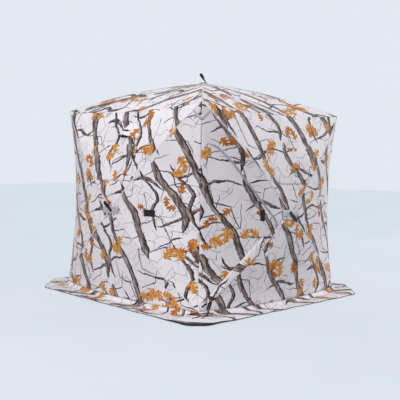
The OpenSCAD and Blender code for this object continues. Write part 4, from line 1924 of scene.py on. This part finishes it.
@dataclass
class Skirt:
    """The snow skirt: laid cloth round the hem, with a bound edge."""

    form: Form
    finishes: Finishes
    reach: float = 0.310
    cut: float = 0.360
    cut_door: float = 0.120
    rise: float = 0.048
    binding: float = 0.0060
    lifts: tuple[float, ...] = (0.016, 0.010, 0.008, 0.010)
    # extra height of the black binding at each corner: partly the binding itself, partly painted shadow under
    # the lifted edge
    binding_and_shadow_drops: tuple[float, ...] = (0.0165, 0.0060, 0.0040, 0.0060)
    points: int = 400
    rows: int = 14
    tuck: float = 0.002
    bound_in: float = 0.004

    def edge(self) -> Array:
        """The skirt's flat outer edge.

        Returns:
            Rows of x and y.
        """
        r = self.form.sizes.base / 2.0 + self.reach
        corners = []
        for k in range(4):
            cut = self.cut_door if k == 0 else self.cut
            pair = np.array([(-r, -r + cut, 0.0), (-r + cut, -r, 0.0)])
            for p in turned(pair, -k):
                corners.append((p[0], p[1]))
        return rounded_polygon(corners, 0.10, 5)

    def reach_at(self, angle: Array, loop: Array) -> Array:
        """Distance from the middle to a flat loop, in each direction.

        Args:
            angle: The directions.
            loop: Rows of x and y.

        Returns:
            One distance for each direction.
        """
        result = np.zeros(len(angle))
        direction = np.column_stack([np.cos(angle), np.sin(angle)])
        for a, b in zip(loop, np.roll(loop, -1, axis=0)):
            d = b - a
            det = direction[:, 1] * d[0] - direction[:, 0] * d[1]
            det = np.where(np.abs(det) < 1e-12, 1e-12, det)
            t = (a[1] * d[0] - a[0] * d[1]) / det
            s = (direction[:, 0] * a[1] - direction[:, 1] * a[0]) / det
            hit = (t > 0) & (s >= -1e-9) & (s <= 1.0 + 1e-9)
            result = np.where(hit, np.maximum(result, t), result)
        return result

    def hem(self) -> Array:
        """The walls' hem as a flat loop.

        Returns:
            Rows of x and y.
        """
        bottom = self.form.wall.facets[Side.BOTTOM.value]
        v = np.linspace(0.0, 1.0, 60)[:-1]
        side = bottom.point(np.ones_like(v), v)
        return np.vstack([turned(side, -k)[:, :2] for k in range(4)])

    def height(self, angle: Array, out: Array, share: Array) -> Array:
        """Height of the skirt's top face.

        Args:
            angle: Direction from the middle.
            out: Distance from the hem, in metres.
            share: Share of the way from hem to edge.

        Returns:
            The height in metres.
        """
        hem_z = self.form.sizes.hem_z
        slope = (1.0 - smooth_step(0.0, self.rise, out)) ** 1.3
        wave = np.sin(19.0 * angle + 0.6) + 0.8 * np.sin(31.0 * angle + 2.0) + 0.6 * np.sin(53.0 * angle)
        ripple = 0.0016 * (wave + 1.8) * smooth_step(0.15, 0.6, share) * (0.5 + 0.5 * share)
        corner = self.by_corner(angle, self.lifts)
        return 0.0045 + (hem_z - 0.0060) * slope + ripple + corner * smooth_step(0.25, 1.0, share)

    @staticmethod
    def by_corner(angle: Array, amounts: Sequence[float]) -> Array:
        """An amount at each corner, door corner first, that fades away from it.

        Args:
            angle: The directions.
            amounts: One for each corner.

        Returns:
            One amount for each direction.
        """
        total = np.zeros_like(angle)
        for k, amount in enumerate(amounts):
            away = np.abs((angle - math.radians(-135.0 + 90.0 * k) + math.pi) % (2.0 * math.pi) - math.pi)
            total += amount * np.exp(-(away / 0.16) ** 2)
        return total

    def span(self, angle: Array) -> tuple[Array, Array]:
        """How far from the middle the skirt begins and ends in each direction."""
        return self.reach_at(angle, self.hem()) - self.tuck, self.reach_at(angle, self.edge()) - self.bound_in

    def top_at(self, places: Array) -> Array:
        """Height of the skirt's top face under flat points x, y.

        Args:
            places: Rows of x and y.

        Returns:
            One height for each point.
        """
        angle = np.arctan2(places[:, 1], places[:, 0])
        inner, outer = self.span(angle)
        out = np.linalg.norm(places, axis=1) - inner
        return self.height(angle, out, out / (outer - inner))

    def build(self) -> list[Piece]:
        """Build the skirt and its binding.

        Returns:
            The cloth and its binding.
        """
        angle = np.linspace(-math.pi, math.pi, self.points, endpoint=False)
        inner, outer = self.span(angle)
        share = np.concatenate([np.linspace(0.0, 0.18, 5)[:-1], np.linspace(0.18, 1.0, self.rows - 3)])
        grid = np.zeros((len(share), self.points, 3))
        for i, s in enumerate(share):
            r = inner + (outer - inner) * s
            grid[i, :, 0], grid[i, :, 1] = r * np.cos(angle), r * np.sin(angle)
            grid[i, :, 2] = self.height(angle, r - inner, np.full_like(angle, s))
        cloth = new_object("skirt_cloth", grid.reshape(-1, 3), ring_faces(len(share), self.points))
        flat = grid.reshape(-1, 3)[corner_vertices(cloth)][:, :2]
        set_cut(cloth, np.column_stack([flat[:, 0] * 0.9 + 0.4, flat[:, 1] * 0.9 + 0.7]))
        dress(cloth, self.finishes.skirt_fabric, self.finishes.underside)
        thicken(cloth, CLOTH_T, LINING_SLOT)
        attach(cloth, SHELTER)
        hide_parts("skirt")
        rim = grid[-1].copy()
        # painted shadow: at the corners the black binding is drawn taller, down to the floor, filling the gap
        # under the lifted edge along with the real binding
        tall = 0.0050 + self.by_corner(angle, self.binding_and_shadow_drops)
        rim[:, 2] = np.maximum(rim[:, 2] + 0.0006 - tall / 2.0, 0.0006 + tall / 2.0)
        bound = tube("skirt_binding", rim, self.binding, 8, loop=True, flat=tall / (2.0 * self.binding))
        dress(bound, self.finishes.binding)
        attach(bound, SHELTER)
        width = 2.0 * (self.form.sizes.base / 2.0 + self.reach)
        4.0 * width - 0.8
        self.reach + 0.02
        return [cloth, bound]


@dataclass
class Fittings:
    """Hub covers, pull straps, patches, corner bands and tabs."""

    form: Form
    finishes: Finishes
    cover: tuple[float, float] = (0.226, 0.052)
    roof_cover: tuple[float, float] = (0.066, 0.066)
    cover_lift: float = 0.0036
    cover_t: float = 0.0009
    patch_lift: float = 0.0022
    patch_t: float = 0.0018
    strap_w: float = 0.025
    strap_t: float = 0.0024
    roof_twist: float = 38.0
    roof_raise: float = 50.0
    strap_line: tuple[tuple[float, float], ...] = (
        (-0.020, 0.0062), (0.010, 0.0064), (0.035, 0.0072), (0.060, 0.0094), (0.080, 0.0110),
        (0.094, 0.0120), (0.1030, 0.0150), (0.1035, 0.0195), (0.0970, 0.0222), (0.080, 0.0226),
        (0.062, 0.0212), (0.040, 0.0160), (0.018, 0.0112), (-0.004, 0.0094), (-0.020, 0.0090))
    tie_line: tuple[tuple[float, float], ...] = (
        (-0.866, -0.986), (-0.905, -1.008), (-0.950, -1.026), (-1.000, -1.042))

    def build(self) -> list[Piece]:
        """Build every fitting.

        Returns:
            The pieces.
        """
        pieces = []
        for wall, name in enumerate(WALLS):
            pieces.append(self.hub_cover(name, wall))
            pieces.append(self.pull_strap(name, wall))
        pieces.append(self.hub_cover("roof", None))
        pieces.append(self.pull_strap("roof", None))
        pieces += self.patches()
        pieces += self.corner_bands()
        pieces += self.tabs()
        return pieces

    def on_hub(self, points: Array, wall: int | None, spin: float, tilt: float = 0.0,
               shift: Place = (0.0, 0.0, 0.0)) -> Array:
        """Carry points from a hub's own frame, z outwards, to its place.

        Args:
            points: Rows of x, y, z in the hub's frame.
            wall: Number of the wall, or None for the roof.
            spin: Turn about the outward axis, in degrees.
            tilt: Turn that raises +x towards the outward axis first, in degrees.
            shift: Move after the tilt.

        Returns:
            The points in the shelter's frame.
        """
        tip = Matrix.Rotation(-math.radians(tilt), 4, "Y")
        place = Matrix.Rotation(math.radians(spin), 4, "Z") @ Matrix.Translation(shift) @ tip
        local = np.array([tuple(place @ Vector(p)) for p in points])
        if wall is None:
            s = self.form.sizes
            return local + np.array([0.0, 0.0, s.corner_h + s.roof_rise])
        out = np.column_stack([local[:, 0], -local[:, 2], local[:, 1]]) + self.form.hub
        return turned(out, wall)

    def hub_cover(self, name: str, wall: int | None) -> Piece:
        """The grey patch sewn over a hub plate.

        Args:
            name: Name of the wall or roof.
            wall: Number of the wall, or None for the roof.

        Returns:
            The patch.
        """
        width, height = self.cover if wall is not None else self.roof_cover
        columns, rows = (28, 10) if wall is not None else (12, 12)
        x = np.linspace(-width / 2.0, width / 2.0, columns + 1)
        y = np.linspace(-height / 2.0, height / 2.0, rows + 1)
        edge = 0.003
        x[1], x[-2] = x[0] + edge, x[-1] - edge
        y[1], y[-2] = y[0] + edge, y[-1] - edge
        gx, gy = np.meshgrid(x, y)
        inset = np.minimum(width / 2.0 - np.abs(gx), height / 2.0 - np.abs(gy))
        puff = 0.0007 * np.sin(31.0 * gx + 1.0) * np.sin(70.0 * gy) + 0.0005
        gz = self.cover_lift + puff * smooth_step(0.004, 0.015, inset) - 0.0012 * (inset < 0.5 * edge)
        hem = ((inset > 0.5 * edge) & (inset < 0.009)) * 0.0006
        points = np.column_stack([gx.ravel(), gy.ravel(), (gz + hem).ravel()])
        obj = new_object(f"{name}_hub_cover", self.on_hub(points, wall, 0.0), grid_faces(rows, columns))
        set_cut(obj, points[corner_vertices(obj)][:, :2])
        dress(obj, self.finishes.reflective)
        thicken(obj, -self.cover_t)
        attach(obj, SHELTER)
        return obj

    def pull_strap(self, name: str, wall: int | None) -> Piece:
        """The webbing loop that pulls a hub out; its line is in the hub frame's x and z.

        Args:
            name: Name of the wall or roof.
            wall: Number of the wall, or None for the roof.

        Returns:
            The strap.
        """
        line = softened(np.array(self.strap_line))
        half = self.strap_w / 2.0
        twist = smooth_step(0.0, 0.09, line[:, 0]) * math.radians(self.roof_twist if wall is None else 0.0)
        middle = np.column_stack([line[:, 0], np.zeros(len(line)), line[:, 1]])
        aside = np.column_stack([np.zeros(len(line)), half * np.cos(twist), half * np.sin(twist)])
        left, right = middle + aside, middle - aside
        spin = {"front": -45.0, "left": 140.0, "back": -45.0, "right": -45.0, "roof": 135.0}[name]
        if wall is None:
            shift = (-0.014, 0.0, 0.0072 * (1.0 - math.cos(math.radians(self.roof_raise))))
            ends = [self.on_hub(p, None, spin, self.roof_raise, shift) for p in (left, right)]
        else:
            ends = [self.on_hub(p, wall, spin) for p in (left, right)]
        obj = strip(f"{name}_strap_loop", ends[0], ends[1], columns=4)
        dress(obj, self.finishes.webbing)
        apply_modifier(obj, "SOLIDIFY", thickness=self.strap_t, offset=0.0, use_even_offset=True)
        apply_modifier(obj, "BEVEL", width=0.0006, segments=2, limit_method="ANGLE")
        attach(obj, SHELTER)
        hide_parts(f"{name}_pull_strap")
        return obj

    def patches(self) -> list[Piece]:
        """The two black hook-and-loop patches.

        Returns:
            The pieces.
        """
        hub_z = self.form.sizes.hub_z
        places = (("door_patch", 0, -0.350, hub_z - 0.008, 0.047, 0.096, DOOR, "door_hook_patch"),
                  ("left_patch", 1, 0.472, hub_z - 0.004, 0.112, 0.056, SHELTER, "left_hook_patch"))
        pieces = []
        for name, wall, x, z, w, h, body, node in places:
            loop = rounded_polygon([(x - w / 2, z - h / 2), (x + w / 2, z - h / 2), (x + w / 2, z + h / 2),
                                    (x - w / 2, z + h / 2)], 0.004, 3)
            obj = Cutter(self.form.wall, wall, 0.006).cut(name, loop, lift=self.patch_lift)
            dress(obj, self.finishes.hooks)
            thicken(obj, self.patch_t)
            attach(obj, body)
            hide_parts(node)
            pieces.append(obj)
        return pieces

    def corner_bands(self) -> list[Piece]:
        """Grey bands that meet in a V under each top corner.

        Returns:
            The pieces.
        """
        seams = Seams()
        pieces = []
        for wall, name in enumerate(WALLS):
            for side, word in ((-1.0, "left"), (1.0, "right")):
                line = np.array([(side * 0.882, 1.676), (side * 0.936, 1.602)])
                if side < 0:
                    line = line[::-1]
                obj = seams.band(f"{name}_{word}_corner_band", self.form.wall, wall, line, 0.0105, 0.0011,
                                 self.finishes.corner_cloth, 4, 0.0010)
                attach(obj, SHELTER)
                pieces.append(obj)
        return pieces

    def tabs(self) -> list[Piece]:
        """The webbing tabs at the foot of the door corner and the tie that lies from them over the skirt.

        Returns:
            The pieces.
        """
        seams = Seams()
        pieces = []
        for k, x in enumerate((-0.864, -0.846)):
            line = np.array([(x + 0.007, 0.106), (x - 0.005, 0.044)])
            pieces.append(seams.band(f"foot_tab_{k + 1}", self.form.wall, 0, line, 0.0070, 0.0035,
                                     self.finishes.webbing, 3, 0.0022))
        run = resampled(np.array(self.tie_line), 0.008)
        top = Skirt(self.form, self.finishes).top_at(run) + 0.0026
        top[:2] = (0.0440, 0.0405)
        middle = np.column_stack([run, top])
        aside = np.array([-0.0018, 0.0046, 0.0])
        tie = strip("foot_tie", middle + aside, middle - aside, columns=2)
        dress(tie, self.finishes.webbing)
        apply_modifier(tie, "SOLIDIFY", thickness=0.0014, offset=0.0)
        pieces.append(tie)
        for obj in pieces:
            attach(obj, SHELTER)
        return pieces


@dataclass
class Parts:
    """Everything that is sewn or fixed to the skins."""

    form: Form
    finishes: Finishes
    skin: ShelterSkin

    def build(self) -> list[Piece]:
        """Build all the pieces.

        Returns:
            The pieces.
        """
        pieces = DoorParts(self.form, self.finishes, self.skin).build()
        pieces += self.windows()
        pieces += self.vent()
        pieces += self.seams()
        pieces += Skirt(self.form, self.finishes).build()
        pieces += Fittings(self.form, self.finishes).build()
        self.dress_frame()
        return pieces

    def windows(self) -> list[Piece]:
        """The closed covers of the four windows.

        Returns:
            The four covers.
        """
        windows = self.skin.windows
        pieces = []
        for wall, name in enumerate(WALLS):
            cutter = Cutter(self.form.wall, wall)
            outline = windows.outline(wall, windows.overlap)
            obj = cutter.cut(f"{name}_window_cloth", outline, lift=windows.cover_lift,
                             phase=cut_phase(WINDOW_CUT + wall))
            dress(obj, self.finishes.cover_fabric, self.finishes.lining)
            thicken(obj, windows.cover_t, LINING_SLOT)
            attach(obj, SHELTER)
            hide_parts(f"{name}_window_cover")
            pieces.append(obj)
        return pieces

    def vent(self) -> list[Piece]:
        """The vent's hood and the black sheet behind it, which paints the shade in the opening.

        Returns:
            The pieces.
        """
        vent = self.skin.vent
        s = self.form.sizes
        z1 = s.corner_h - vent.drop
        rows, columns = 14, 28
        a, b = np.meshgrid(np.linspace(0.0, 1.0, rows + 1), np.linspace(0.0, 1.0, columns + 1), indexing="ij")
        open_side = b ** 0.62
        arch = 4.0 * open_side * (1.0 - open_side)
        rim_x = vent.x - 0.166 + 0.292 * b
        rim_z = z1 - vent.rim_drop - 0.034 * b + 0.030 * arch
        top_x = vent.x - 0.058 + 0.112 * b
        flat = np.column_stack([(rim_x + (top_x - rim_x) * a).ravel(), (rim_z + (z1 - rim_z) * a).ravel()])
        lift = 0.0025 + vent.lift * (1.0 - a) ** 0.8 * arch
        points = turned(self.form.wall.surface(flat, lift.ravel()), 1)
        hood = new_object("left_vent_cloth", points, grid_faces(rows, columns))
        set_cut(hood, flat[corner_vertices(hood)] + np.array([0.9, 0.33]))
        dress(hood, self.finishes.cover_fabric, self.finishes.lining)
        thicken(hood, vent.hood_t, LINING_SLOT)
        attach(hood, SHELTER)
        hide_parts("left_vent_hood")
        # painted shade: a black sheet over the opening under the hood stands for the dark inside seen there
        x, z = vent.x, z1 - vent.rim_drop
        mouth = rounded_polygon([(x - 0.160, z - 0.004), (x - 0.060, z - 0.010), (x + 0.080, z + 0.012),
                                 (x + 0.080, z + 0.062), (x - 0.085, z + 0.062)], 0.010, 3)
        shade_sheet = Cutter(self.form.wall, 1, 0.012).cut("left_vent_shade_sheet", mouth, lift=0.0004)
        dress(shade_sheet, self.finishes.underside)
        thicken(shade_sheet, vent.shade_sheet_t)
        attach(shade_sheet, SHELTER)
        return [hood, shade_sheet]

    def seams(self) -> list[Piece]:
        """The tapes along the rods, but for the one that the door's storm flap covers.

        Returns:
            The pieces.
        """
        seams = Seams()
        pieces = []
        skins = [(name, self.form.wall, wall) for wall, name in enumerate(WALLS)]
        for name, skin, wall in skins + [("roof", self.form.roof, 0)]:
            for k, ridge in enumerate(skin.ridges(seams.step)):
                if name == "front" and k == Side.BOTTOM.value:
                    continue
                away = np.linalg.norm(ridge - skin.hub, axis=1)
                line = ridge[(away > seams.hub_gap) & (away < away.max() - seams.end_gap)]
                obj = seams.band(f"{name}_ridge_seam_{k + 1}", skin, wall, line, seams.half, seams.lift,
                                 self.finishes.seam)
                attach(obj, SHELTER)
                pieces.append(obj)
        return pieces

    def dress_frame(self) -> None:
        """Give the CAD rods and hubs their finishes."""
        for name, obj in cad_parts.items():
            if name.endswith("_rods"):
                dress(obj, self.finishes.rod)
            elif name.endswith("_hub"):
                dress(obj, self.finishes.hub)


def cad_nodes() -> list[str]:
    """Names of the CAD nodes."""
    return sorted(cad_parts)


@dataclass
class Stage:
    """Floor, lights and camera; each lamp has its name, place, size and power."""

    focal_mm: float = 59.98
    camera_turn: float = -44.522
    camera_distance: float = 6.741
    camera_height: float = 1.227
    look_turn: float = 0.131
    look_down: float = 0.051
    roll: float = 1.182
    floor_dark: Colour = tone(104, 105, 108)
    floor_light: Colour = tone(112, 113, 116)
    floor_glow: Colour = tone(196, 204, 214)
    floor_size: float = 60.0
    sky: Colour = tone(226, 233, 240)
    soft_light: Colour = (0.98, 0.985, 1.0, 1.0)
    soft_power: float = 0.76
    aim: Place = (0.0, 0.0, 0.9)
    lamps: tuple[tuple[str, Place, float, float], ...] = (
        ("key", (-6.5, -2.0, 3.6), 4.0, 190.0),
        ("fill", (6.4, -3.6, 2.6), 4.5, 185.0),
        ("top", (0.0, 0.5, 6.0), 4.0, 5.0))

    def build(self) -> None:
        """Build the whole stage."""
        self.camera()
        self.floor()
        self.lights()

    def camera(self) -> None:
        """Place the camera."""
        data = bpy.data.cameras.new("camera")
        data.lens = self.focal_mm
        data.sensor_width = 36.0
        data.clip_end = 200.0
        obj = bpy.data.objects.new("camera", data)
        bpy.context.scene.collection.objects.link(obj)
        a = math.radians(self.camera_turn)
        b = a + math.radians(self.look_turn)
        d = self.camera_distance
        forward = Vector((-math.sin(b) * math.cos(self.look_down), math.cos(b) * math.cos(self.look_down),
                          -math.sin(self.look_down)))
        right = Vector((math.cos(b), math.sin(b), 0.0))
        up = right.cross(forward)
        r = math.radians(self.roll)
        side = right * math.cos(r) + up * math.sin(r)
        top = -right * math.sin(r) + up * math.cos(r)
        matrix = Matrix((side, top, -forward)).transposed().to_4x4()
        matrix.translation = Vector((math.sin(a) * d, -math.cos(a) * d, self.camera_height))
        obj.matrix_world = matrix
        bpy.context.scene.camera = obj

    def floor(self) -> None:
        """Lay a wide pale floor."""
        bpy.ops.object.select_all(action="DESELECT")
        bpy.ops.mesh.primitive_plane_add(size=self.floor_size, location=(0.0, 0.0, -0.001))
        obj = bpy.context.object
        obj.name = "floor"
        recipe = Recipe("floor")
        place = recipe.object_coordinates()
        cloudy = recipe.noise(place, 0.7, 3.0)
        recipe.set(Base_Color=recipe.mix(cloudy.fade(0.3, 0.7), self.floor_dark, self.floor_light))
        recipe.set(Roughness=0.9, Specular_IOR_Level=0.1)
        rays = recipe.node("LightPath", None, {})
        seen = Ink(recipe, rays.outputs["Is Camera Ray"]).most(Ink(recipe, rays.outputs["Is Glossy Ray"]))
        recipe.set(Emission_Color=recipe.mix(seen, (0.0, 0.0, 0.0, 1.0), self.floor_glow))
        recipe.set(Emission_Strength=1.0)
        dress(obj, recipe.material)

    def lights(self) -> None:
        """Hang the lamps and set the world."""
        scene = bpy.context.scene
        world = bpy.data.worlds.new("studio")
        scene.world = world
        world.use_nodes = True
        tree = world.node_tree
        tree.nodes.clear()
        output = tree.nodes.new("ShaderNodeOutputWorld")
        path = tree.nodes.new("ShaderNodeLightPath")
        either = tree.nodes.new("ShaderNodeMath")
        either.operation = "MAXIMUM"
        mix = tree.nodes.new("ShaderNodeMixShader")
        for number, ray in enumerate(("Is Camera Ray", "Is Glossy Ray")):
            tree.links.new(path.outputs[ray], either.inputs[number])
        tree.links.new(either.outputs[0], mix.inputs[0])
        for number, colour, power in ((1, self.soft_light, self.soft_power), (2, self.sky, 1.0)):
            glow = tree.nodes.new("ShaderNodeBackground")
            glow.inputs[0].default_value = colour
            glow.inputs[1].default_value = power
            tree.links.new(glow.outputs[0], mix.inputs[number])
        tree.links.new(mix.outputs[0], output.inputs[0])
        for lamp in self.lamps:
            self.hang(*lamp)

    def hang(self, name: str, place: Place, size: float, power: float) -> None:
        """Hang one soft square lamp that looks at the shelter's middle.

        Args:
            name: The lamp's name.
            place: Where it hangs.
            size: Its side.
            power: Its power in watts.
        """
        data = bpy.data.lights.new(name, "AREA")
        data.size = size
        data.energy = power
        obj = bpy.data.objects.new(name, data)
        bpy.context.scene.collection.objects.link(obj)
        forward = Vector(self.aim) - Vector(place)
        matrix = forward.to_track_quat("-Z", "Y").to_matrix().to_4x4()
        matrix.translation = Vector(place)
        obj.matrix_world = matrix


def main() -> None:
    """Build the stage and every piece in order."""
    logging.basicConfig(level=logging.INFO, format="%(name)s: %(message)s")
    bpy.context.scene.view_settings.view_transform = "Standard"
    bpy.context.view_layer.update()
    Stage().build()
    finishes = Finishes()
    form = Form(ShelterSizes())
    skin = ShelterSkin(form, finishes)
    pieces = [skin.build_wall(wall) for wall in range(len(WALLS))]
    pieces.append(skin.build_roof())
    pieces += Parts(form, finishes, skin).build()
    for piece in pieces:
        LOG.info("%s: %d faces", piece.name, len(piece.data.polygons))


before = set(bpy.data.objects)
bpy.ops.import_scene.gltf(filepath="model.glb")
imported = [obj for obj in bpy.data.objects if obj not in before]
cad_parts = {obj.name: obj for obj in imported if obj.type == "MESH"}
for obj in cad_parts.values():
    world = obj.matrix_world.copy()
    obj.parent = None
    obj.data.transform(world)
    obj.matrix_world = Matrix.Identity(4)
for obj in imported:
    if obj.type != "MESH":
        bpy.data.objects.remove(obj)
if __name__ == "__main__":
    main()
